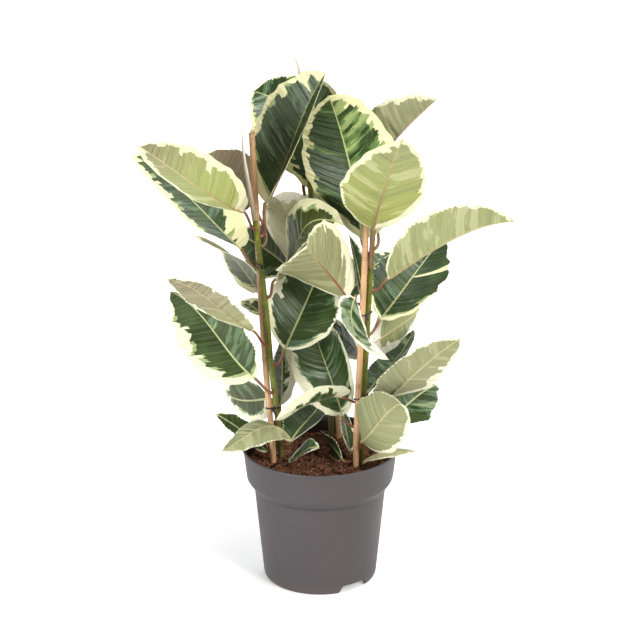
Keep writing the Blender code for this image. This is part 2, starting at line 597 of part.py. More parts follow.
def petiole_path(leaf, blade_start, blade_tangent, blade_normal):
    """Centres and frames of the petiole's rings, from the stem to the blade."""
    joint, stem_direction, stem_radius = tube_at(STEMS[leaf["stem"]], stem_radii(), leaf["joint"])
    outward = blade_start - joint
    if "leaves_at" in leaf:
        heading = radians(leaf["leaves_at"])
        outward = np.array([cos(heading), sin(heading), 0.0])
    # square to the stem, so that the petiole's flat end faces it
    outward = unit(outward - (outward @ stem_direction) * stem_direction)
    begin = joint + outward * (stem_radius + GAP)
    reach = np.linalg.norm(blade_start - begin)
    near = begin + outward * reach * PETIOLE_BEND
    far = blade_start - blade_tangent * reach * PETIOLE_BEND
    frames = []
    normal = blade_normal
    for k in range(PETIOLE_STEPS - 1, -1, -1):
        t = k / PETIOLE_STEPS
        w = 1 - t
        centre = w ** 3 * begin + 3 * w ** 2 * t * near + 3 * w * t ** 2 * far + t ** 3 * blade_start
        tangent = unit(w ** 2 * (near - begin) + 2 * w * t * (far - near) + t ** 2 * (blade_start - far))
        normal = unit(normal - (normal @ tangent) * tangent)
        frames.append((centre, normal, np.cross(tangent, normal)))
    return frames[::-1]


def leaf_rings(leaf):
    """Ten points a ring: five over the topside from the left edge to the right, then five back underneath."""
    rings_at = np.array(SMALL_BLADE_RINGS if leaf["width"] < SMALL_LEAF_WIDTH else BLADE_RINGS)
    radius = PETIOLE_RADIUS + PETIOLE_GROWTH * leaf["width"]
    centres, tangents, normals, sides = midrib(leaf, rings_at)
    around = np.radians(162 - 36 * np.arange(10))
    rings = []
    frames = petiole_path(leaf, centres[0], tangents[0], normals[0])
    frames.append((centres[0], normals[0], sides[0]))
    for centre, normal, side in frames:
        rings.append([centre + radius * (cos(a) * side + sin(a) * normal) for a in around])
    v = np.array([-1, -0.5, 0, 0.5, 1])
    sideways, upwards, slope = blade_section(leaf, v)
    for u, centre, normal, side in zip(rings_at[1:], centres[1:], normals[1:], sides[1:]):
        half = max(leaf["width"] / 2 * float(blade_profile(u)), LEAST_HALF_WIDTH)
        rib = radius * 0.9 * (1 - u) ** 0.8 * np.array([0, 0, 1, 0, 0])
        middle = centre + half * (np.outer(sideways, side) + np.outer(upwards, normal))
        thick = LEAF_THICKNESS / 2 * (np.outer(np.cos(slope), normal) - np.outer(np.sin(slope), side))
        over = middle + thick
        under = middle - thick - np.outer(rib, normal)
        rings.append(list(over) + list(under[::-1]))
    return rings


def build_leaf(name, leaf, collection, material):
    """A loft through the rings, with both faces split into triangles alike, so a curled blade stays evenly thick."""
    shape = bmesh.new()
    rings = [[shape.verts.new(point) for point in ring] for ring in leaf_rings(leaf)]
    count = len(rings[0])
    for here, there in zip(rings, rings[1:]):
        for j in range(count):
            k = (j + 1) % count
            if j < 4 or j == 9:
                shape.faces.new((here[j], here[k], there[k]))
                shape.faces.new((here[j], there[k], there[j]))
            else:
                shape.faces.new((here[j], here[k], there[j]))
                shape.faces.new((here[k], there[k], there[j]))
    for ring in (rings[0], rings[-1]):
        for j in range(4):
            shape.faces.new((ring[j], ring[j + 1], ring[9 - j]))
            shape.faces.new((ring[j + 1], ring[8 - j], ring[9 - j]))
    bmesh.ops.recalc_face_normals(shape, faces=shape.faces)
    mesh = bpy.data.meshes.new(name)
    shape.to_mesh(mesh)
    shape.free()
    leaf_object = add_object(name, mesh, collection, material)
    shade_round(leaf_object, 50)
    return leaf_object


def main():
    clear_scene()
    plant = bpy.data.collections.new("potted rubber plant")
    cutters = bpy.data.collections.new("cutters")
    for collection in (plant, cutters):
        bpy.context.scene.collection.children.link(collection)
    build_pot(plant, cutters)
    build_soil(plant, cutters)
    build_stems(plant)
    build_canes(plant)
    build_ties(plant)
    leaf_skin = make_material("variegated leaf", (0.12, 0.22, 0.08), 0.35)
    for name, leaf in LEAVES.items():
        build_leaf(name, leaf, plant, leaf_skin)


main()
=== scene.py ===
# The finished look of a variegated rubber plant in its nursery pot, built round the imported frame.
# Metres, +Z up. The plant's front faces -Y.
import json
from math import atan2, cos, pi, radians, sin, tau

import bmesh
import bpy
import numpy as np
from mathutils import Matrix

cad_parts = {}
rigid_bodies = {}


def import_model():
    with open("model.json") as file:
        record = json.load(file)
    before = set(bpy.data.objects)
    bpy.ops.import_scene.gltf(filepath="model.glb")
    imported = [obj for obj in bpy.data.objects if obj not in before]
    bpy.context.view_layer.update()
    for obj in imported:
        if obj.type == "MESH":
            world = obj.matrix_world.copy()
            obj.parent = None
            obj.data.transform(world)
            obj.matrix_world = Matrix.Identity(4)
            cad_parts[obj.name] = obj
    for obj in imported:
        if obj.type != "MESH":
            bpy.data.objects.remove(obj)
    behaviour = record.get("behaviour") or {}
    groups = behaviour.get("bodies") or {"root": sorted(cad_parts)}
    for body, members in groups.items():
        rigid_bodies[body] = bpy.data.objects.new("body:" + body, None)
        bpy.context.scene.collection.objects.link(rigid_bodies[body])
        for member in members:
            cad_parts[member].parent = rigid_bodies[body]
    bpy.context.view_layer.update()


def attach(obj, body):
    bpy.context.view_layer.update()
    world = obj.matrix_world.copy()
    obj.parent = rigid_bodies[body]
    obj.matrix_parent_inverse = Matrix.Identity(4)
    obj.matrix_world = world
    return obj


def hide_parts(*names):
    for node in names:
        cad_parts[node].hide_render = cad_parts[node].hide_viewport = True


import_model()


def srgb(red, green, blue):
    # a colour as a screen shows it, in the linear values that Blender wants
    return tuple(((c / 255 + 0.055) / 1.055) ** 2.4 for c in (red, green, blue)) + (1,)


def operator(operation):
    return lambda number, *others: number.nodes.calc(operation, number, *others)


class Number:
    # a number inside a node tree, so that sums on it read as sums
    def __init__(self, nodes, socket):
        self.nodes = nodes
        self.socket = socket

    __add__, __sub__, __mul__ = operator("ADD"), operator("SUBTRACT"), operator("MULTIPLY")
    __pow__, __abs__ = operator("POWER"), operator("ABSOLUTE")
    __gt__, __lt__ = operator("GREATER_THAN"), operator("LESS_THAN")


class Nodes:
    # short calls that add nodes to a tree and wire them up
    def __init__(self, tree):
        self.tree = tree

    def put(self, socket, value):
        if isinstance(value, Number):
            value = value.socket
        if isinstance(value, bpy.types.NodeSocket):
            self.tree.links.new(value, socket)
        elif value is not None:
            socket.default_value = value

    def add(self, kind, inputs=None, **settings):
        node = self.tree.nodes.new(kind)
        for name, value in settings.items():
            setattr(node, name, value)
        for name, value in (inputs or {}).items():
            self.put(node.inputs[name], value)
        return node

    def first(self, kind, inputs=None, **settings):
        return self.add(kind, inputs, **settings).outputs[0]

    def calc(self, operation, *values, clamp=False):
        node = self.add("ShaderNodeMath", operation=operation, use_clamp=clamp)
        for socket, value in zip(node.inputs, values):
            self.put(socket, value)
        return Number(self, node.outputs[0])

    def step(self, value, low, high, toLow=0.0, toHigh=1.0):
        # a smooth step from toLow to toHigh while value goes from low to high
        limits = {"From Min": low, "From Max": high, "To Min": toLow, "To Max": toHigh, "Value": value}
        return Number(self, self.first("ShaderNodeMapRange", limits, interpolation_type="SMOOTHSTEP"))

    def blend(self, share, before, after):
        node = self.add("ShaderNodeMix", data_type="RGBA")
        for index, value in ((0, share), (6, before), (7, after)):
            self.put(node.inputs[index], value)
        return node.outputs[2]

    def split(self, vector):
        parts = self.add("ShaderNodeSeparateXYZ", {"Vector": vector}).outputs
        return [Number(self, part) for part in parts]

    def join(self, x, y, z):
        return self.first("ShaderNodeCombineXYZ", {"X": x, "Y": y, "Z": z})

    def attribute(self, name):
        return self.split(self.add("ShaderNodeAttribute", attribute_name=name).outputs["Vector"])

    def objectPlace(self, stretch=(1, 1, 1)):
        place = self.add("ShaderNodeTexCoord").outputs["Object"]
        return self.first("ShaderNodeMapping", {"Vector": place, "Scale": stretch})

    def noise(self, scale, detail=2.0, roughness=0.5, stretch=(1, 1, 1), place=None):
        inputs = {"Vector": place or self.objectPlace(stretch), "Scale": scale, "Detail": detail,
                  "Roughness": roughness}
        return Number(self, self.first("ShaderNodeTexNoise", inputs))

    def lineNoise(self, place, detail=1.0):
        inputs = {"W": place, "Scale": 1.0, "Detail": detail}
        return Number(self, self.first("ShaderNodeTexNoise", inputs, noise_dimensions="1D"))

    def lineCells(self, place):
        # three random numbers for each stretch of a line
        cells = self.add("ShaderNodeTexVoronoi", {"W": place, "Scale": 1.0}, voronoi_dimensions="1D")
        return self.split(cells.outputs["Color"])

    def bump(self, height, depth):
        return self.first("ShaderNodeBump", {"Height": height, "Distance": depth, "Strength": 1.0})


class Finish(Nodes):
    # the nodes of a new Principled material
    def __init__(self, name):
        self.material = bpy.data.materials.new(name)
        self.material.use_nodes = True
        super().__init__(self.material.node_tree)

    def done(self, colour, roughness, specular=None, normal=None, glow=None):
        sockets = self.tree.nodes["Principled BSDF"].inputs
        for name, value in (("Base Color", colour), ("Roughness", roughness), ("Normal", normal),
                            ("Specular IOR Level", specular), ("Emission Strength", glow)):
            self.put(sockets[name], value)
        return self.material


def newObject(name, data):
    thing = bpy.data.objects.new(name, data)
    bpy.context.scene.collection.objects.link(thing)
    return thing


def meshPiece(name, points, faces, materials, slots=None, smoothAngle=40):
    mesh = bpy.data.meshes.new(name)
    mesh.from_pydata([tuple(p) for p in points], [], faces)
    for material in materials:
        mesh.materials.append(material)
    if slots is not None:
        mesh.polygons.foreach_set("material_index", slots)
    mesh.shade_smooth()
    mesh.set_sharp_from_angle(angle=radians(smoothAngle))
    return newObject(name, mesh)


def faceOutwards(piece):
    mesh = bmesh.new()
    mesh.from_mesh(piece.data)
    bmesh.ops.recalc_face_normals(mesh, faces=mesh.faces)
    mesh.to_mesh(piece.data)
    mesh.free()


def setVectors(piece, name, values):
    # one vector for each point of the mesh
    layer = piece.data.attributes.new(name, "FLOAT_VECTOR", "POINT")
    layer.data.foreach_set("vector", np.asarray(values, np.float32).ravel())


def settle(piece, node):
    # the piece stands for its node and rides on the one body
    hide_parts(node)
    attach(piece, "root")


def plainMesh(source, name):
    # what an object's modifiers make of it, as a new plain object; the source goes
    graph = bpy.context.evaluated_depsgraph_get()
    mesh = bpy.data.meshes.new_from_object(source.evaluated_get(graph), depsgraph=graph)
    bpy.data.objects.remove(source)
    mesh.name = name
    return newObject(name, mesh)


# Camera, floor and light

view = {"place": (0, -2.80, 1.41), "pitchDown": 20.4, "focalPixels": 2251, "framePixels": 640,
        "sensor": 36.0}
# the floor glows a little, as a lit table does, so that the shadows on it stay faint
floorLook = {"reach": 9.0, "grey": 0.8, "roughness": 0.9, "specular": 0.1, "glow": 0.3}
lights = {
    # name: place, the point that it faces, width and height, power, spread in degrees and colour
    "keyLight": ((2.2, -2.5, 2.4), (0, 0, 0.4), (1.2, 1.6), 21, 70, (1, 0.99, 0.97)),
    "sideLight": ((-1.45, -1.1, 0.33), (0, 0, 0.5), (0.6, 0.62), 6.5, 110, (0.95, 0.98, 1)),
    "topLight": ((0.8, -0.3, 2.4), (0, 0, 0.3), (1.2, 1.2), 15, 120, (1, 1, 1)),
    "lowLight": ((-0.63, -0.67, 0.16), (0.02, -0.04, 0.57), (0.34, 0.17), 0.8, 100, (0.95, 0.98, 1)),
    "backLight": ((-0.17, 1.07, 2.54), (0.1, 0, 0.3), (0.5, 0.5), 5, 100, (0.96, 0.98, 1)),
    "farLight": ((0, 2.7, 2.4), (0, 2.7, 0), (3.0, 3.2), 60, 90, (1, 1, 1)),
}
# the sky's strength at the horizon and overhead, and the height at which it is full
sky = {"low": 0.20, "high": 0.42, "full": 0.8}


def buildView():
    data = bpy.data.cameras.new("camera")
    data.sensor_width = view["sensor"]
    data.lens = view["focalPixels"] / view["framePixels"] * view["sensor"]
    camera = newObject("camera", data)
    camera.location = view["place"]
    camera.rotation_euler = (radians(90 - view["pitchDown"]), 0, 0)
    bpy.context.scene.camera = camera


def buildFloor():
    reach, grey = floorLook["reach"], floorLook["grey"]
    corners = [(-reach, -reach, 0), (reach, -reach, 0), (reach, reach, 0), (-reach, reach, 0)]
    finish = Finish("pale floor").done((grey, grey, grey, 1), floorLook["roughness"], floorLook["specular"],
                                       glow=floorLook["glow"])
    meshPiece("floor", corners, [(0, 1, 2, 3)], [finish])


def buildLight():
    for name, (place, target, size, power, spread, colour) in lights.items():
        data = bpy.data.lights.new(name, "AREA")
        data.shape = "RECTANGLE"
        data.size, data.size_y = size
        data.spread = radians(spread)
        data.energy = power
        data.color = colour
        lamp = newObject(name, data)
        lamp.location = place
        aim = np.array(target) - np.array(place)
        lamp.rotation_euler = (atan2(np.hypot(aim[0], aim[1]), -aim[2]), 0, atan2(aim[1], aim[0]) - pi / 2)
    scene = bpy.context.scene
    scene.world = bpy.data.worlds.new("studio")
    scene.world.use_nodes = True
    nodes = Nodes(scene.world.node_tree)
    height = nodes.split(nodes.add("ShaderNodeTexCoord").outputs["Generated"])[2]
    background = nodes.tree.nodes["Background"].inputs
    background["Color"].default_value = (1, 1, 1, 1)
    nodes.put(background["Strength"], nodes.step(height, 0.0, sky["full"], sky["low"], sky["high"]))
    scene.view_settings.view_transform = "Standard"
    scene.view_settings.look = "None"


buildView()
buildFloor()
buildLight()
print("camera, floor and light are set")


# Routes that the stems and canes follow, from the buried end to the top

stemRoutes = {
    "left": [
        (-0.0523, 0.002, 0.101), (-0.0523, 0.002, 0.15), (-0.0523, 0.002, 0.168), (-0.0598, 0, 0.254),
        (-0.0661, 0, 0.312), (-0.0697, 0, 0.362), (-0.0752, 0, 0.421), (-0.0816, 0, 0.478),
        (-0.0849, 0, 0.507),
    ],
    "right": [
        (0.0569, -0.0125, 0.101), (0.0569, -0.0125, 0.15), (0.0569, -0.0125, 0.168),
        (0.059, -0.01, 0.28), (0.0629, -0.01, 0.365), (0.0668, -0.01, 0.454), (0.0696, -0.01, 0.501),
    ],
    "back": [
        (0.016, 0.073, 0.101), (0.016, 0.073, 0.15), (0.016, 0.073, 0.168), (0.01, 0.09, 0.27),
        (0.004, 0.1, 0.36), (-0.006, 0.089, 0.46), (-0.016, 0.068, 0.56), (-0.022, 0.052, 0.64),
    ],
}
caneRoutes = {
    "left": [
        (-0.0632, -0.01, 0.103), (-0.0632, -0.01, 0.15), (-0.0632, -0.01, 0.168),
        (-0.0721, 0.004, 0.288), (-0.0779, 0.0076, 0.387), (-0.0805, 0.0094, 0.447),
        (-0.0845, 0.0105, 0.54), (-0.0885, 0.0125, 0.622),
    ],
    "right": [
        (0.0482, -0.0235, 0.103), (0.0482, -0.0235, 0.15), (0.0482, -0.0235, 0.168),
        (0.053, -0.021, 0.327), (0.0565, -0.02, 0.404), (0.0593, -0.019, 0.501),
        (0.0602, -0.0185, 0.55),
    ],
    "back": [
        (0.026, 0.071, 0.103), (0.026, 0.071, 0.15), (0.026, 0.071, 0.168), (0.0208, 0.0905, 0.27),
        (0.015, 0.1005, 0.36), (0.0045, 0.0965, 0.44),
    ],
}
sheathRoutes = {
    "left": [
        (-0.0852, 0, 0.508), (-0.0905, -0.002, 0.545), (-0.0985, -0.004, 0.6), (-0.101, -0.004, 0.641),
    ],
    "right": [
        (0.0698, -0.01, 0.502), (0.0735, -0.01, 0.53), (0.0765, -0.012, 0.56), (0.079, -0.014, 0.59),
    ],
    "back": [
        (-0.0221, 0.0518, 0.6409), (-0.025, 0.05, 0.668), (-0.027, 0.052, 0.695),
        (-0.0402, 0.055, 0.729),
    ],
}


def unit(vectors):
    return vectors / np.linalg.norm(vectors, axis=-1, keepdims=True)


def runLength(points):
    # how far along a path each of its points lies
    return np.concatenate(([0], np.cumsum(np.linalg.norm(np.diff(points, axis=0), axis=1))))


def pickPoints(wanted, places, points):
    # points of a path at the wanted places, between those that it has at the given ones
    return np.stack([np.interp(wanted, places, points[:, i]) for i in range(3)], axis=-1)


def smoothRoute(points, steps, stepsPerSpan=12):
    # points along a smooth curve through the given ones, evenly spread by length
    points = np.array(points, float)
    spans = np.linalg.norm(np.diff(points, axis=0), axis=1)
    slopes = np.diff(points, axis=0) / spans[:, None]
    # at each inner point, the slope of the shorter neighbour counts for more
    tangents = [slopes[0]]
    for before, after, left, right in zip(slopes, slopes[1:], spans, spans[1:]):
        tangents.append((before * right + after * left) / (left + right))
    tangents.append(slopes[-1])
    fine = []
    for p, q, m, n, span in zip(points, points[1:], tangents, tangents[1:], spans):
        for t in np.arange(stepsPerSpan) / stepsPerSpan:
            fine.append(p * (1 + 2 * t) * (1 - t) ** 2 + q * t * t * (3 - 2 * t)
                        + m * span * t * (1 - t) ** 2 - n * span * t * t * (1 - t))
    fine = np.array(fine + [points[-1]])
    lengths = runLength(fine)
    return pickPoints(np.linspace(0, lengths[-1], steps), lengths, fine)


def circle(angles, first, second):
    return np.outer(np.cos(angles), first) + np.outer(np.sin(angles), second)


def tubeRings(points, radii, sides):
    # rings of points round a path, turned as little as possible from one to the next
    tangents = unit(np.gradient(points, axis=0))
    across = unit(np.cross(tangents[0], (0, 1, 0.1)))
    angles = np.arange(sides) * tau / sides
    rings = []
    for point, tangent, radius in zip(points, tangents, radii):
        across = unit(across - (across @ tangent) * tangent)
        rings.append(point + radius * circle(angles, across, np.cross(tangent, across)))
    return np.array(rings)


def ringFaces(rings, sides, closed=False):
    # quads between rings that are numbered one after the other
    faces = []
    for i in range(rings if closed else rings - 1):
        here, there = i * sides, (i + 1) % rings * sides
        for j in range(sides):
            k = (j + 1) % sides
            faces.append((here + j, here + k, there + k, there + j))
    return faces


def capFaces(rings, sides):
    # the two flat ends of a run of rings
    return [tuple(range(sides))[::-1], tuple((rings - 1) * sides + j for j in range(sides))]


def tubePiece(name, points, radii, sides, material):
    # a tube with both ends closed, and its place along and around kept as "shaft"
    rings = tubeRings(points, radii, sides)
    count = len(rings)
    faces = ringFaces(count, sides) + capFaces(count, sides)
    piece = meshPiece(name, rings.reshape(-1, 3), faces, [material])
    angles = np.arange(sides) * tau / sides
    around = circle(angles, (0, 1, 0), (0, 0, 1))
    setVectors(piece, "shaft", around[None] + runLength(points)[:, None, None] * np.array((1, 0, 0)))
    return piece


# Leaves

leafMesh = {
    "ringSpacing": 0.0019, "leastRings": 34, "mostRings": 100, "endCrowding": 0.10,
    "pointsAcross": 31, "midribCrowding": 1.5, "thickness": 0.0006, "edgeThickness": 0.0003,
    "leastHalfWidth": 0.0006, "baseBlend": 0.03, "tipStart": 0.94, "tipDraw": 1.15,
    "bodyLean": 0.87, "bodyRoundness": 0.72,
    # side veins: they leave the midrib at this slant and bend forwards
    "veinLean": 0.42, "veinCurve": 2.2, "veinPitch": 0.0082, "veinRelief": 0.00042, "veinFade": 0.006,
    # the edge: its ripples, and lobes as waves of a size, a length in mm and a shift
    "edgeWave": 0.0007, "ripples": 15, "lobes": 0.0016, "lobeFade": 0.12, "plainWidth": 0.02,
    "lobeWaves": ((0.55, 4.7, 0), (0.3, 2.9, 1), (0.4, 11, 0)),
    # the midrib: a groove above, and beneath it a rib that grows from the petiole
    "grooveDepth": 0.00045, "grooveWidth": 0.0014, "ribFoot": 0.0008, "ribSpread": 0.8, "ribRise": 1.5,
    "petioleRings": 12, "petioleRadius": 0.0011, "petioleGrowth": 0.011, "petioleBend": 0.35,
    "petioleNeck": 0.88, "petioleFlare": 0.30, "seat": 0.0002,
}
stemShape = {"radius": 0.0042, "tipShare": 0.84, "rings": 150, "sides": 24, "scarSwell": 0.10,
             "scarLength": 0.0016, "scarDrop": 0.004, "extraScars": 9, "lowestScar": 0.18,
             "topMargin": 0.01}

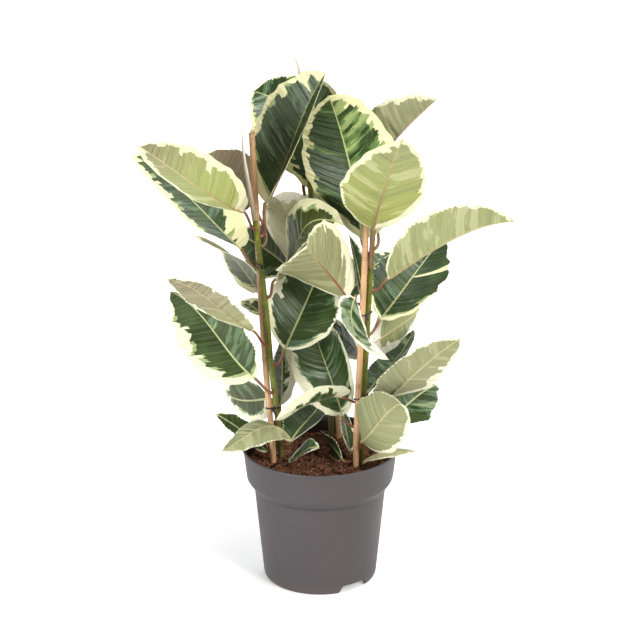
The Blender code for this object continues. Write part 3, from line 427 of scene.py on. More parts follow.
# Each leaf grows as the solid that it stands for. A row gives its stem and the height there, the blade's
# base, tip and width and the midrib's bends (bow up, sway sideways), all in millimetres. Then come the
# blade's roll, twist, folds and curls in degrees, its seed, the cream margin's mean width on the left and
# right in millimetres, the share of pale patches in the green, how white the margin is, how brown the leaf
# is, how fresh and yellow its greens are, and how red its midrib is. Three numbers in place of one stand
# for the base, middle and tip. A few rows end with values of their own.
leafColumns = ("stem", "joint", "base", "tip", "width", "bow", "sway", "roll", "twist", "fold", "curl",
               "seed", "cream", "pale", "white", "brown", "fresh", "redRib")
lengthColumns = ("joint", "base", "tip", "width", "bow", "sway")
leafRows = {
    "left_01": ("left", 498, (-99, -39, 532), (-224, -114, 641), 87, (-40, 22), (-13, 13), 57, 1, (9, 23),
        (8, 24), 11, ((14, 9, 2), (6, 8, 11)), 0.3, 0.05, (0, 0, 0.6), (1, 0.7, 0.3), 0.7),
    "left_02": ("left", 484, (-71, 6, 527), (9, -20, 712), 120, (-18, 0), (-14, -18), 51, 16, (19, 23),
        (12, 22), 23, ((8, 6, 9), (3, 3, 3)), 0.34, 0.1, 0, 0.1, 1,
        {"lobes": 1.3, "bays": ((-1, 0.8, 0.014, 0.002),)}),
    "left_03": ("left", 470, (-89, 31, 519), (-152, 114, 565), 82, (3, 6), (-2, -2), 117, 0, (10, 9),
        (9, 9), 31, (1, 1), 0.2, 0.3, 0.9, 0, 0.4, {"leavesAt": 30}),
    "left_04": ("left", 441, (-105, 7, 467), (-242, -11, 599), 98, (44, -23), (32, 6), -117, 12,
        (-16, -1), (-14, -1), 42, ((7, 12, 8), (24, 7, 4)), 0.5, 0.1, 0, 0.1, 0.3),
    "left_05": ("left", 385, (-82, 31, 396), (-169, 46, 472), 77, (-13, -19), (0, 9), -139, -58, (-2, 9),
        (-1, 9), 53, ((7, 10, 7), (3, 3, 3)), 0.1, 0.2, 0.6, 0.3, 0.4, {"leavesAt": 78}),
    "left_06": ("left", 401, (-58, -6, 428), (32, -11, 505), 99, (-15, 74), (-6, -11), 8, 66, (13, 4),
        (11, 4), 61, ((8, 8, 8), (3, 4, 8)), 0.14, 0.3, 0.45, 0.15, 0.5),
    "left_07": ("left", 352, (-72, 16, 366), (-107, 57, 375), 31, (2, 4), (1, 1), -11, -8, (13, 14),
        (13, 13), 72, (6, 4), 0.12, 0.4, 0.1, 0.2, 0.4, {"leavesAt": 95}),
    "left_08": ("left", 336, (-89, -42, 370), (-195, -123, 470), 69, (-7, 20), (-7, -2), 25, 26, (-2, -2),
        (-2, -2), 83, ((2, 6, 5), (2, 3, 3)), 0.55, 0.6, (0.1, 0.6, 0.75), (0.6, 0.1, 0), 0.6,
        {"leavesAt": -115}),
    "left_09": ("left", 303, (-47, 5, 325), (3, 75, 425), 104, (4, 8), (1, 4), 30, -19, (14, 16),
        (12, 16), 94, ((6, 9, 5), (4, 5, 3)), 0.36, 0.6, 0, 0, 0.1),
    "left_10": ("left", 267, (-88, -10, 290), (-197, -17, 416), 102, (12, -32), (-2, 3), -109, -19,
        (18, 14), (12, 15), 105, ((13, 17, 0.3), (2, 2, 1)), 0.26, 0.45, 0.1, 0.15, 0.05,
        {"leavesAt": -115, "lobes": 2, "palerRight": 0.3, "bays": ((1, 0.72, 0.03, 0.006),)}),
    "left_11": ("left", 228, (-54, 35, 231), (-51, 48, 329), 46, (4, -2), (1, 1), 55, 5, (9, 9), (9, 9),
        116, (1, (8, 13, 8)), 0.3, 0.9, 0.5, 0.15, 0.1, {"leavesAt": 60}),
    "left_12": ("left", 238, (-68, 16, 250), (-134, 85, 236), 70, (2, 18), (-8, -10), -116, -8, (6, -7),
        (6, -6), 127, ((8, 9, 10), (1, 2, 9)), 0.2, 0.7, 0.35, 0.15, 0.2),
    "left_13": ("right", 254, (27, -23, 268), (-57, -112, 272), 82, (-1, -2), (16, 20), -133, 52,
        (-14, -2), (-10, -1), 138, ((10, 14, 28), (14, 14, 28)), 0.6, 0.6, 0, 0.1, 0.2,
        {"leavesAt": 190}),
    "left_14": ("left", 200, (-40, -30, 207), (-130, -80, 213), 62, (-53, -11), (2, 0), 179, 12, (3, 9),
        (3, 9), 149, (2, 2), 0.6, 0.6, 0, 0.1, 0.2),
    "left_15": ("left", 176, (-71, -2, 179), (-141, -3, 235), 40, (4, 3), (1, 2), -22, -6, (6, 6), (6, 6),
        151, (1, 1), 0.3, 0.6, 0, 0, 0.2),
    "left_16": ("left", 190, (-39, -13, 199), (0, 70, 218), 58, (7, -2), (1, 1), -2, 11, (15, 15),
        (15, 15), 162, (1, (3, 2, 3)), 0.4, 0.9, 0, 0, 0.1),
    "left_17": ("left", 170, (-42, -10, 171), (-1, -47, 204), 39, (-6, 11), (-1, -5), 30, 7, (7, 10),
        (6, 10), 173, (2, 2), 0.5, 0.8, 0, 0.1, 0.2),
    "right_01": ("right", 462, (55, 9, 478), (11, -31, 683), 128, (9, -58), (11, -2), -137, 40, (-11, -9),
        (-7, -7), 184, ((13, 8, 8), (10, 14, 8)), 0.58, 0.1, 0, 0.6, 0, {"palerRight": 0.22}),
    "right_02": ("right", 448, (69, -30, 505), (103, -93, 644), 109, (-6, 5), (6, 3), -22, 16, (4, 3),
        (4, 3), 195, ((9, 5, 5), (3, 5, 13)), 0.45, 0.2, 0, (1, 0.8, 0.2), 0.8),
    "right_03": ("right", 470, (68, 31, 556), (150, 7, 669), 99, (20, 11), (3, -1), -37, -7, (24, 27),
        (24, 21), 206, (2, 5), 0.55, 0.3, 0.2, 0.1, 0.9, {"leavesAt": 50}),
    "right_04": ("right", 413, (89, -9, 430), (254, -34, 517), 92, (6, 23), (8, 13), -44, -6, (20, 27),
        (20, 22), 217, ((1, 1, 2), (2, 3.5, 3)), 0.55, 0.35, 0.05, 0.35, 0.5),
    "right_05": ("right", 394, (38, -22, 407), (-16, -126, 516), 114, (46, 2), (5, 8), 44, 36, (37, 15),
        (23, 15), 228, ((14, 9, 1), (2, 5, 3)), 0.5, 0.4, 0.22, 0.2, 1, {"leavesAt": 180}),
    "right_06": ("right", 345, (63, 12, 361), (38, 21, 481), 39, (1, 4), (0, 1), -2, 0, (9, 10), (9, 10),
        239, (2, 2), 0.4, 0.6, 0, 0, 0.2),
    "right_07": ("right", 351, (80, 5, 367), (168, 109, 448), 106, (16, -8), (11, -8), 10, -10, (4, 11),
        (4, 10), 241, ((5, 1, 1), (9, 0.3, 0.3)), 0.3, 0.3, 0, 0, 0.35,
        {"lobes": 2.8, "bays": ((1, 0.5, 0.052, 0.0032),)}),
    "right_08": ("right", 372, (45, -50, 418), (88, -125, 361), 74, (-23, -26), (21, 28), -48, 14,
        (7, -2), (7, -1), 252, ((2, 3, 18), (3, 4, 18)), 0.75, 1, 0, 0, 0.1, {"leavesAt": 175}),
    "right_09": ("right", 322, (70, 9, 332), (137, 96, 350), 80, (0, -8), (0, 1), -86, -3, (9, 9), (9, 9),
        263, ((14, 13, 5), (16, 4, 3)), 0.35, 1, 0, 0.3, 0.1),
    "right_10": ("right", 316, (56, 1, 317), (5, 76, 341), 48, (-6, -4), (-3, -1), -95, 4, (4, 5), (4, 5),
        274, (4, 4), 0.3, 0.7, 0, 0.1, 0.2, {"leavesAt": 150}),
    "right_11": ("right", 252, (65, 4, 264), (129, 97, 319), 71, (1, -13), (0, -1), -27, -8, (7, 9),
        (7, 9), 285, (1, 1), 0.62, 0.6, 0, 0, 0.2),
    "right_12": ("right", 244, (87, -12, 262), (183, -71, 370), 85, (-41, -5), (19, 12), -55, -14,
        (13, -14), (14, -10), 296, ((12, 10, 1), (1.5, 2, 5)), 0.4, 0.6, 0.2, 0.2, 0.15),
    "right_13": ("right", 216, (30, 12, 226), (-8, 98, 321), 103, (36, 44), (7, 1), -30, 0, (27, 30),
        (18, 31), 307, ((8, 9, 6), (8, 7, 3)), 0.4, 0.7, 0, 0, 0.2, {"leavesAt": 150}),
    "right_14": ("right", 205, (94, -5, 227), (160, 54, 254), 78, (-3, 7), (-2, -5), 20, -23, (9, 7),
        (9, 7), 318, (1, (0.5, 0.8, 1.5)), 0.5, 0.8, 0, 0, 0.1, {"lobes": 2.4}),
    "right_15": ("right", 188, (56, -30, 207), (106, -101, 290), 83, (-29, 17), (-2, 10), -59, 28,
        (6, 15), (6, 18), 329, ((4, 5, 4), 1), 0.3, 0.5, 0.15, 0.15, 0.2),
    "right_16": ("right", 176, (41, 0, 178), (29, 52, 225), 35, (-1, 1), (0, 0), 47, 7, (6, 6), (6, 6),
        331, (2.5, 2.5), 0.4, 0.7, 0, 0, 0.2),
    "right_17": ("right", 170, (29, -30, 181), (1, 12, 204), 39, (-3, 1), (-3, -1), -103, -36, (-3, 5),
        (-3, 5), 342, (1, 1), 0.3, 0.7, 0, 0.3, 0.2, {"leavesAt": 180}),
    "right_18": ("right", 172, (59, -30, 175), (127, -62, 205), 34, (-13, -8), (1, 2), -175, 5, (3, 9),
        (3, 9), 353, (3, 3), 0.8, 0.6, 0, 0.2, 0.2),
    "back_01": ("back", 495, (18, 73, 506), (-27, 133, 674), 115, (24, 9), (15, 18), -57, 58, (13, 23),
        (10, 20), 364, (7, (6, 9, 7)), 0.3, 0.1, 0, 0.1, 0.4),
    "back_02": ("back", 485, (-23, 95, 537), (-92, 178, 634), 122, (21, 38), (29, 36), -36, 35, (8, 11),
        (10, 11), 375, ((10, 8, 2), (3, 3, 1)), 0.4, 0.1, 0, 0.1, 0.4),
    "back_03": ("back", 400, (-40, 55, 426), (-62, 20, 533), 92, (-10, 38), (-5, -5), 7, 48, (21, 14),
        (17, 14), 386, ((6, 8, 13), (5, 9, 13)), 0.9, 0.9, (0.7, 0.4, 0), 0, 0.3),
    "back_04": ("back", 388, (-39, 74, 413), (-112, 118, 450), 77, (-2, 0), (5, 6), -84, 6, (7, 6),
        (7, 6), 397, (2, 2), 0.3, 0.5, 0, 0, 0.4),
    "back_05": ("back", 430, (-4, 108, 447), (22, 238, 482), 85, (14, 14), (0, 4), -10, 0, (12, 12),
        (10, 10), 401, (7, 7), 0.5, 0.4, 0, 0, 0.4),
    "back_06": ("back", 290, (-4, 118, 303), (-30, 235, 318), 80, (14, 12), (0, -4), 5, 0, (12, 12),
        (10, 10), 412, (7, 7), 0.5, 0.5, 0, 0, 0.4),
    "back_07": ("back", 335, (30, 112, 350), (105, 205, 395), 75, (13, 10), (0, 0), 0, 0, (12, 12),
        (10, 10), 423, (4, 4), 0.45, 0.5, 0, 0, 0.4, {"leavesAt": 100}),
}
leaves = {}
for leafName, leafRow in leafRows.items():
    leaf = dict(zip(leafColumns, leafRow))
    for leafKey in lengthColumns:
        leaf[leafKey] = np.array(leaf[leafKey]) / 1000
    for leafExtras in leafRow[len(leafColumns):]:
        leaf.update(leafExtras)
    leaves["leaf_" + leafName] = leaf


def bladeShare(u):
    # share of the full half-width: a rounded base, fullest before the middle, and a drawn-out point
    start, lean, roundness = leafMesh["tipStart"], leafMesh["bodyLean"], leafMesh["bodyRoundness"]
    body = np.sin(pi * np.clip(u, 0, 1) ** lean) ** roundness
    atStart = np.sin(pi * start ** lean) ** roundness
    point = atStart * (np.clip(1 - u, 0, 1) / (1 - start)) ** leafMesh["tipDraw"]
    return np.where(u > start, point, body)


def cubic(a, b, c, d, t):
    # the points of a cubic curve and the way that it heads there
    w = 1 - t
    return (w ** 3 * a + 3 * w ** 2 * t * b + 3 * w * t ** 2 * c + t ** 3 * d,
            unit(w ** 2 * (b - a) + 2 * w * t * (c - b) + t ** 2 * (d - c)))


def midrib(leaf, u):
    # midrib points, with the blade's direction, topside normal and right-hand side at each
    base, tip = leaf["base"], leaf["tip"]
    chord = tip - base
    along = unit(chord)
    level = unit(np.array([0, 0, 1.0]) - along[2] * along)
    roll = radians(leaf["roll"])
    normal = level * cos(roll) + np.cross(along, level) * sin(roll)
    side = np.cross(along, normal)
    near, far = (base + chord * third / 3 + normal * bow + side * sway
                 for third, bow, sway in zip((1, 2), leaf["bow"], leaf["sway"]))
    u = np.asarray(u, float)[:, None]
    points, tangents = cubic(base, near, far, tip, u)
    normals = unit(normal - (tangents @ normal)[:, None] * tangents)
    sides = np.cross(tangents, normals)
    turn = np.radians(leaf["twist"]) * (u - 0.5)
    normals = normals * np.cos(turn) + sides * np.sin(turn)
    return points, tangents, normals, np.cross(tangents, normals)


def bladeSection(leaf, v):
    # across the blade in half-widths, to the side and up: a fold at the midrib, then an even curl
    fold, curl = (np.radians(np.where(v < 0, *leaf[key])) for key in ("fold", "curl"))
    curl = np.where(np.abs(curl) < 1e-3, 1e-3, curl)
    reach = np.abs(v)
    sideways = (np.sin(fold + curl * reach) - np.sin(fold)) / curl * np.sign(v)
    upwards = (np.cos(fold) - np.cos(fold + curl * reach)) / curl
    return sideways, upwards, (fold + curl * reach) * np.sign(v)


def stemAt(side, height):
    # a stem's middle, its direction and its radius at a height
    points = smoothRoute(stemRoutes[side], stemShape["rings"])
    above = int(np.searchsorted(points[:, 2], height))
    taper = 1 - (1 - stemShape["tipShare"]) * above / stemShape["rings"]
    middle = pickPoints(height, points[:, 2], points)
    return middle, unit(points[above] - points[above - 1]), stemShape["radius"] * taper


def sectionAngles():
    # round a petiole: over the top from left to right, then back beneath
    over = pi * (1 - np.arange(leafMesh["pointsAcross"]) / (leafMesh["pointsAcross"] - 1))
    return np.concatenate((over, -over[::-1]))


def petioleRings(leaf, start, tangent, normal, radius):
    # round rings from the stem's skin to the blade, as the blade's first ring is turned
    shape = leafMesh
    joint, stemDirection, stemRadius = stemAt(leaf["stem"], leaf["joint"])
    outward = start - joint
    if "leavesAt" in leaf:
        outward = np.array([cos(radians(leaf["leavesAt"])), sin(radians(leaf["leavesAt"])), 0.0])
    outward = unit(outward - (outward @ stemDirection) * stemDirection)
    begin = joint + outward * (stemRadius - shape["seat"])
    bend = np.linalg.norm(start - begin) * shape["petioleBend"]
    rings = []
    for k in range(shape["petioleRings"], -1, -1):
        t = k / shape["petioleRings"]
        middle, heading = cubic(begin, begin + outward * bend, start - tangent * bend, start, t)
        normal = unit(normal - (normal @ heading) * heading)
        neck = shape["petioleNeck"]
        size = radius * (neck + shape["petioleFlare"] * (1 - t) ** 6 + (1 - neck) * t ** 3)
        rings.append(middle + size * circle(sectionAngles(), np.cross(heading, normal), normal))
    return np.array(rings[::-1])


def alongLeaf(value, u):
    # one number for the whole blade, or three for its base, middle and tip
    return np.interp(u, (0.05, 0.5, 0.95), np.broadcast_to(value, 3))[:, None]


def bothSkins(values):
    # the topside's values from left to right, then the same on the underside from right to left
    return np.concatenate((values, values[:, ::-1]), axis=1)


def leafPiece(name, leaf, materials):
    shape = leafMesh
    across = shape["pointsAcross"]
    seed = leaf["seed"]
    length = float(runLength(midrib(leaf, np.linspace(0, 1, 60))[0])[-1])
    count = int(np.clip(length / shape["ringSpacing"], shape["leastRings"], shape["mostRings"]))
    t = np.linspace(0, 1, count)
    u = t - shape["endCrowding"] * np.sin(tau * t)
    middles, tangents, normals, sides = midrib(leaf, u)
    normal, side = normals[:, None], sides[:, None]
    spread = np.linspace(-1, 1, across)
    v = np.sign(spread) * np.abs(spread) ** shape["midribCrowding"]
    sideways, upwards, slope = bladeSection(leaf, v)
    radius = shape["petioleRadius"] + shape["petioleGrowth"] * leaf["width"]
    half = np.maximum(leaf["width"] / 2 * bladeShare(u), shape["leastHalfWidth"])[:, None]
    along = runLength(middles)[:, None]
    u = u[:, None]

    # each edge has lobes of its own, where the green has outgrown the cream
    ends = np.clip(np.minimum(u, 1 - u) / shape["lobeFade"], 0, 1)
    beat = along * 1000 + np.sign(v) * 31 + seed * 5.3
    lobe = sum(size * np.sin(beat / wavelength + shift) for size, wavelength, shift in shape["lobeWaves"])
    room = shape["lobes"] * leaf.get("lobes", 1) * ends * lobe * np.abs(v) ** 3

    # the blade's middle surface and the way that it faces
    flat = half * v
    up, out = np.cos(slope)[:, None], np.sin(slope)[:, None]
    surface = (middles[:, None] + (half * sideways)[:, :, None] * side
               + (half * upwards)[:, :, None] * normal
               + np.sign(v)[:, None] * (up * side + out * normal) * room[:, :, None])
    facing = up * normal - out * side

    # side veins press in and the blade swells between them, and the edge is a little wavy
    vein = along - shape["veinLean"] * np.abs(flat) - shape["veinCurve"] * flat ** 2
    beat = vein / shape["veinPitch"] + 0.3 * np.sin(vein * 90 + seed) + np.sign(flat) * 0.23
    swell = (np.abs(np.sin(pi * (beat + seed * 0.37))) ** 0.7 - 0.6) * (0.8 + 0.3 * np.sin(vein * 130))
    fade, room = shape["veinFade"], half - np.abs(flat)
    swell = swell * np.clip(np.abs(flat) / fade, 0, 1) * np.clip(room / fade, 0, 1)
    wave = np.sin(along / length * shape["ripples"] + seed + 2 * np.sign(flat)) * np.abs(v) ** 4
    relief = shape["veinRelief"] * swell + shape["edgeWave"] * wave * np.clip(u, 0, 1)
    relief = relief * np.clip(half / shape["plainWidth"], 0, 1)
    surface = surface + facing * relief[:, :, None]

    # both skins, with the midrib's groove above and its rib beneath
    thin = 1 - np.abs(v)[:, None] ** 3 * (1 - shape["edgeThickness"] / shape["thickness"])
    thick = facing * shape["thickness"] / 2 * thin
    groove = shape["grooveDepth"] * (1 - u) ** 0.5 * np.exp(-(flat / shape["grooveWidth"]) ** 2)
    ribWidth = shape["ribFoot"] + shape["ribSpread"] * radius * (1 - u)
    rib = radius * shape["ribRise"] * (1 - u) ** 0.9 * np.exp(-np.abs(flat / ribWidth) ** 2.2)
    over = surface + thick - normal * groove[:, :, None]
    under = surface - thick - normal * rib[:, :, None]
    blade = np.concatenate((over, under[:, ::-1]), axis=1)

    # the petiole's round section turns into the blade's flat one over the first rings
    stalk = petioleRings(leaf, middles[0], tangents[0], normals[0], radius)[:-1]
    angles = sectionAngles()[:, None]
    ring = middles[:, None] + radius * (np.cos(angles) * side + np.sin(angles) * normal)
    share = np.clip(u / shape["baseBlend"], 0, 1)[:, :, None]
    share = share * share * (3 - 2 * share)
    blade = ring * (1 - share) + blade * share

    rings, around = len(stalk) + count, 2 * across
    faces = ringFaces(rings, around) + capFaces(rings, around)
    slots = []
    for i in range(rings - 1):
        for j in range(around):
            underside = across <= j < around - 1
            slots.append(2 if i < len(stalk) else int(underside))
    points = np.concatenate((stalk, blade)).reshape(-1, 3)
    piece = meshPiece("fine_" + name, points, faces, materials, slots + [2, 0], smoothAngle=60)

    # how far each point is along and across the blade and from its edge, for the colours
    outline = np.concatenate([np.concatenate((along, edge), 1) for edge in (half, -half)])[::2]
    spots = np.stack((np.repeat(along, across), flat.ravel()), 1)
    rim = np.min(np.linalg.norm(spots[:, None] - outline[None], axis=2), axis=1)
    lamina = np.concatenate((spots, rim[:, None]), axis=1).reshape(count, across, 3)
    before = np.zeros((len(stalk), around, 3))
    before[:, :, 0] = -np.linalg.norm(stalk.mean(axis=1) - middles[0], axis=1)[:, None]
    setVectors(piece, "lamina", np.concatenate((before, bothSkins(lamina))))

    # the look values of each point; a bay is a deep run of cream along one side vein
    blank = np.zeros((count, across))
    cream = []
    for side, margin in zip((-1, 1), leaf["cream"]):
        width = blank + alongLeaf(margin, u[:, 0]) / 1000
        for baySide, place, depth, breadth in leaf.get("bays", ()):
            if baySide == side:
                width = width + depth * np.exp(-((vein - place * length) / breadth) ** 2)
        cream.append(width)
    pale, *hues = (alongLeaf(leaf[key], u[:, 0]) + blank for key in ("pale", "white", "brown", "fresh"))
    for key, values in (("leafLook", [blank + seed, *cream]), ("leafHues", hues),
                        ("leafShade", [pale, blank + leaf.get("palerRight", 0), blank + leaf["redRib"]])):
        values = bothSkins(np.stack(values, axis=2))
        setVectors(piece, key, np.concatenate((np.repeat(values[:1], len(stalk), axis=0), values)))
    settle(piece, name)


leafTints = {
    "dark": (38, 58, 24), "darkWarm": (56, 76, 34), "olive": (74, 70, 24), "greyGreen": (84, 106, 78),
    "freshGreen": (100, 128, 56), "paleGreen": (150, 164, 96), "paleGrey": (140, 156, 124),
    "creamYellow": (228, 221, 166), "creamWhite": (228, 226, 208), "midrib": (184, 192, 132),
    "midribRed": (128, 70, 50), "underSage": (142, 147, 108), "underBrown": (120, 104, 84),
    "underFresh": (144, 151, 78), "underDark": (118, 124, 80), "underCream": (210, 206, 164),
    "underMidrib": (190, 180, 130),
}
leafTints = {name: srgb(*tint) for name, tint in leafTints.items()}
pattern = {
    # numbers of cells, patches and grains are counted per metre
    "cells": 150, "wander": 0.0044, "edgeBlur": 0.0006, "patchesAcross": 14, "patchesAlong": 62,
    "ribWidth": 0.0014, "ribTaper": 0.0052, "ribLeast": 0.00035, "ribBlur": 0.0004,
    "topRelief": 0.0028, "underRelief": 0.0034,
}


def variegation(nodes):
    # the places of the cream margin, the pale band inside it, and the patches in the green
    along, across, rim = nodes.attribute("lamina")
    seed, left, right = nodes.attribute("leafLook")
    pale, palerRight, redRib = nodes.attribute("leafShade")
    reach, side = abs(across), nodes.calc("SIGN", across)
    margin = (across > 0.0) * (right - left) + left
    pale = side * palerRight + pale
    vein = along + (reach * -leafMesh["veinLean"] + reach * reach * -leafMesh["veinCurve"])
    wander = nodes.noise(130, 3, 0.6) - 0.5
    bent = wander * pattern["wander"] + vein
    ownSeed = side * 7.3 + seed
    stripe = bent * pattern["cells"] + ownSeed * 17.1
    first, second, third = nodes.lineCells(stripe)
    fine = nodes.lineCells(stripe * 2.7)[0]
    slow = nodes.lineNoise(vein * 30 + ownSeed * 5.7, detail=3.0)

    # the cream margin changes slowly along the blade and in steps from one vein to the next
    width = third ** 7.0 * 1.1 + (fine * 0.16 + (first * 0.30 + (slow * 2.2 - 0.45)))
    creamEdge = margin * nodes.calc("MAXIMUM", width, 0.10) + wander * 0.0035
    bandEdge = creamEdge + second ** 3.0 * margin
    green, deep = (nodes.step(rim, edge, edge + pattern["edgeBlur"]) for edge in (creamEdge, bandEdge))

    # patches run along the side veins, and are commoner in paler leaves
    patchPlace = nodes.join(bent * pattern["patchesAlong"] + seed,
                            across * pattern["patchesAcross"] + seed, side)
    cloud = second * 0.10 + nodes.noise(1.0, 4, 0.55, place=patchPlace)
    limit = pale * -0.30 + 0.74
    upper = limit + (pale * -0.10 + 0.15)
    patch, palePatch = nodes.step(cloud, limit, limit + 0.035), nodes.step(cloud, upper, upper + 0.03)

    # the midrib is widest at the blade's base
    ribHalf = nodes.calc("MAXIMUM", along * -pattern["ribTaper"] + pattern["ribWidth"], pattern["ribLeast"])
    rib = nodes.step(reach, ribHalf, ribHalf + pattern["ribBlur"], 1.0, 0.0)
    line = nodes.calc("FRACT", bent * (1 / leafMesh["veinPitch"]))
    line = nodes.step(abs(line - 0.5), 0.015, 0.07, 1.0, 0.0)
    return dict(along=along, vein=bent, green=green, deep=deep, patch=patch, cloud=cloud,
                palePatch=palePatch, pale=pale, rib=rib, line=line, redRib=redRib)


def veined(nodes, marks, skin, tint, lineShare, leastRed):
    # the skin with its side veins, and its midrib, which is redder towards the petiole
    skin = nodes.blend(marks["line"] * lineShare, skin, tint)
    reddish = marks["redRib"] * nodes.step(marks["along"], 0.02, 0.16, 1.0, leastRed)
    return nodes.blend(marks["rib"] * 0.9, skin, nodes.blend(reddish, tint, leafTints["midribRed"]))


def veinBump(nodes, marks, depth):
    # fine ribs along the side veins, and the skin's own faint grain
    ribs = nodes.lineNoise(marks["vein"] * 110.0, detail=1.5)
    return nodes.bump(nodes.noise(600, 2) * 0.05 + ribs, depth)


def leafTopFinish():
    nodes = Finish("leaf topside")
    tints, marks, blend = leafTints, variegation(nodes), nodes.blend
    white, brown, fresh = nodes.attribute("leafHues")
    mottle = nodes.noise(38, 3)
    dark = blend(nodes.step(mottle, 0.35, 0.7), tints["dark"], tints["darkWarm"])
    dark = blend(brown, dark, tints["olive"])
    field = blend(marks["patch"], dark, blend(fresh, tints["greyGreen"], tints["freshGreen"]))
    paler = blend(white, tints["paleGreen"], tints["paleGrey"])
    field = blend(marks["palePatch"], field, paler)
    cream = blend(white, tints["creamYellow"], tints["creamWhite"])
    cream = blend(nodes.step(mottle, 0.45, 0.8, 0.0, 0.25), cream, paler)
    skin = blend(marks["green"], cream, blend(marks["deep"], paler, field))
    skin = veined(nodes, marks, skin, tints["midrib"], 0.10, 0.1)
    return nodes.done(skin, nodes.step(mottle, 0.3, 0.7, 0.28, 0.38), 0.4,
                      veinBump(nodes, marks, pattern["topRelief"]))


def leafUnderFinish():
    nodes = Finish("leaf underside")
    tints, marks, blend = leafTints, variegation(nodes), nodes.blend
    white, brown, fresh = nodes.attribute("leafHues")
    field = blend(fresh, tints["underSage"], tints["underFresh"])
    field = blend(marks["patch"] * 0.3, field, tints["underCream"])
    field = blend(nodes.step(marks["cloud"], 0.38, 0.52, 1.0, 0.0) * 0.45, field, tints["underDark"])
    field = blend(brown, field, tints["underBrown"])
    field = blend(nodes.step(marks["pale"], 0.5, 1.0, 0.0, 0.6), field, tints["underCream"])
    skin = blend(marks["green"], blend(white, tints["underCream"], tints["creamWhite"]), field)
    skin = veined(nodes, marks, skin, tints["underMidrib"], 0.22, 0.3)
    return nodes.done(skin, 0.5, 0.3, veinBump(nodes, marks, pattern["underRelief"]))


def petioleFinish():
    nodes = Finish("petiole skin")
    along = nodes.attribute("lamina")[0]
    tint = nodes.blend(nodes.step(nodes.noise(60, 3), 0.3, 0.7), srgb(120, 66, 50), srgb(124, 96, 58))
    tint = nodes.blend(nodes.step(along, -0.012, 0.004, 0.0, 0.5), tint, srgb(150, 150, 84))
    return nodes.done(tint, 0.42, normal=nodes.bump(nodes.noise(500, stretch=(1, 1, 0.3)), 0.0001))


leafMaterials = [leafTopFinish(), leafUnderFinish(), petioleFinish()]
for leafName, leaf in leaves.items():
    leafPiece(leafName, leaf, leafMaterials)
print(len(leaves), "leaves are grown")


# Stems and the sheaths round their growing tips


def stemFinish():
    nodes = Finish("green bark")
    cloud, streak = nodes.noise(45, 4), nodes.noise(420, 3, stretch=(1, 1, 0.25))
    tint = nodes.blend(nodes.step(cloud, 0.3, 0.7), srgb(108, 116, 8), srgb(80, 92, 8))
    tint = nodes.blend(nodes.step(streak, 0.5, 0.75, 0.0, 0.6), tint, srgb(150, 148, 48))
    height = nodes.split(nodes.objectPlace())[2]
    tint = nodes.blend(nodes.step(cloud * 0.12 + height, 0.26, 0.36, 0.75, 0.0), tint, srgb(98, 84, 46))
    return nodes.done(tint, 0.48, normal=nodes.bump(nodes.noise(900, 3, stretch=(1, 1, 0.25)), 0.0002))


def scarFinish():
    nodes = Finish("leaf scar bark")
    return nodes.done(nodes.blend(nodes.noise(300, 2), srgb(92, 72, 40), srgb(128, 112, 62)), 0.7)


def buildStems():
    bark, scar, shape = stemFinish(), scarFinish(), stemShape
    rng = np.random.default_rng(7)
    for side, route in stemRoutes.items():
        points = smoothRoute(route, shape["rings"] * 2)
        radii = shape["radius"] * (1 - (1 - shape["tipShare"]) * np.linspace(0, 1, len(points)))
        joints = [leaf["joint"] for leaf in leaves.values() if leaf["stem"] == side]
        highest = route[-1][2] - shape["topMargin"]
        joints += list(rng.uniform(shape["lowestScar"], highest, shape["extraScars"]))
        onScar = np.zeros(len(points))
        for joint in joints:
            bump = np.exp(-((points[:, 2] - joint + shape["scarDrop"]) / shape["scarLength"]) ** 2)
            radii = radii * (1 + shape["scarSwell"] * bump)
            onScar = np.maximum(onScar, bump)
        piece = tubePiece("fine_stem_" + side, points, radii, shape["sides"], bark)
        piece.data.materials.append(scar)
        slots = np.zeros(len(piece.data.polygons), np.int32)
        rings = np.repeat(onScar[:-1] > 0.75, shape["sides"])
        slots[:len(rings)] = rings
        piece.data.polygons.foreach_set("material_index", slots)
        settle(piece, "stem_" + side)


sheathShape = {"foot": 0.0037, "tip": 0.0005, "taper": 0.8, "rings": 60, "sides": 20}


def sheathFinish():
    nodes = Finish("bud sheath skin")
    streak = nodes.noise(700, 3, stretch=(1, 1, 0.12))
    tint = nodes.blend(nodes.step(nodes.attribute("shaft")[0], 0.0, 0.09), srgb(150, 132, 104),
                       srgb(226, 206, 192))
    tint = nodes.blend(nodes.step(streak, 0.45, 0.75, 0.0, 0.6), tint, srgb(196, 190, 164))
    return nodes.done(tint, 0.45, normal=nodes.bump(streak, 0.00025))


def buildSheaths():
    skin, shape = sheathFinish(), sheathShape
    for side, route in sheathRoutes.items():
        fall = (1 - np.linspace(0, 1, shape["rings"])) ** shape["taper"]
        radii = shape["tip"] + (shape["foot"] - shape["tip"]) * fall
        points = smoothRoute(route, shape["rings"])
        piece = tubePiece("fine_sheath_" + side, points, radii, shape["sides"], skin)
        settle(piece, "sheath_" + side)


buildStems()
buildSheaths()
print("stems and sheaths are grown")


# Bamboo canes, each a shaft along its route with a double ridge at every node

caneShape = {"radius": 0.0040, "sides": 24, "pointSpacing": 0.004, "nodeSpacing": 0.088, "ridge": 0.00042,
             "ridgeGap": 0.0032}


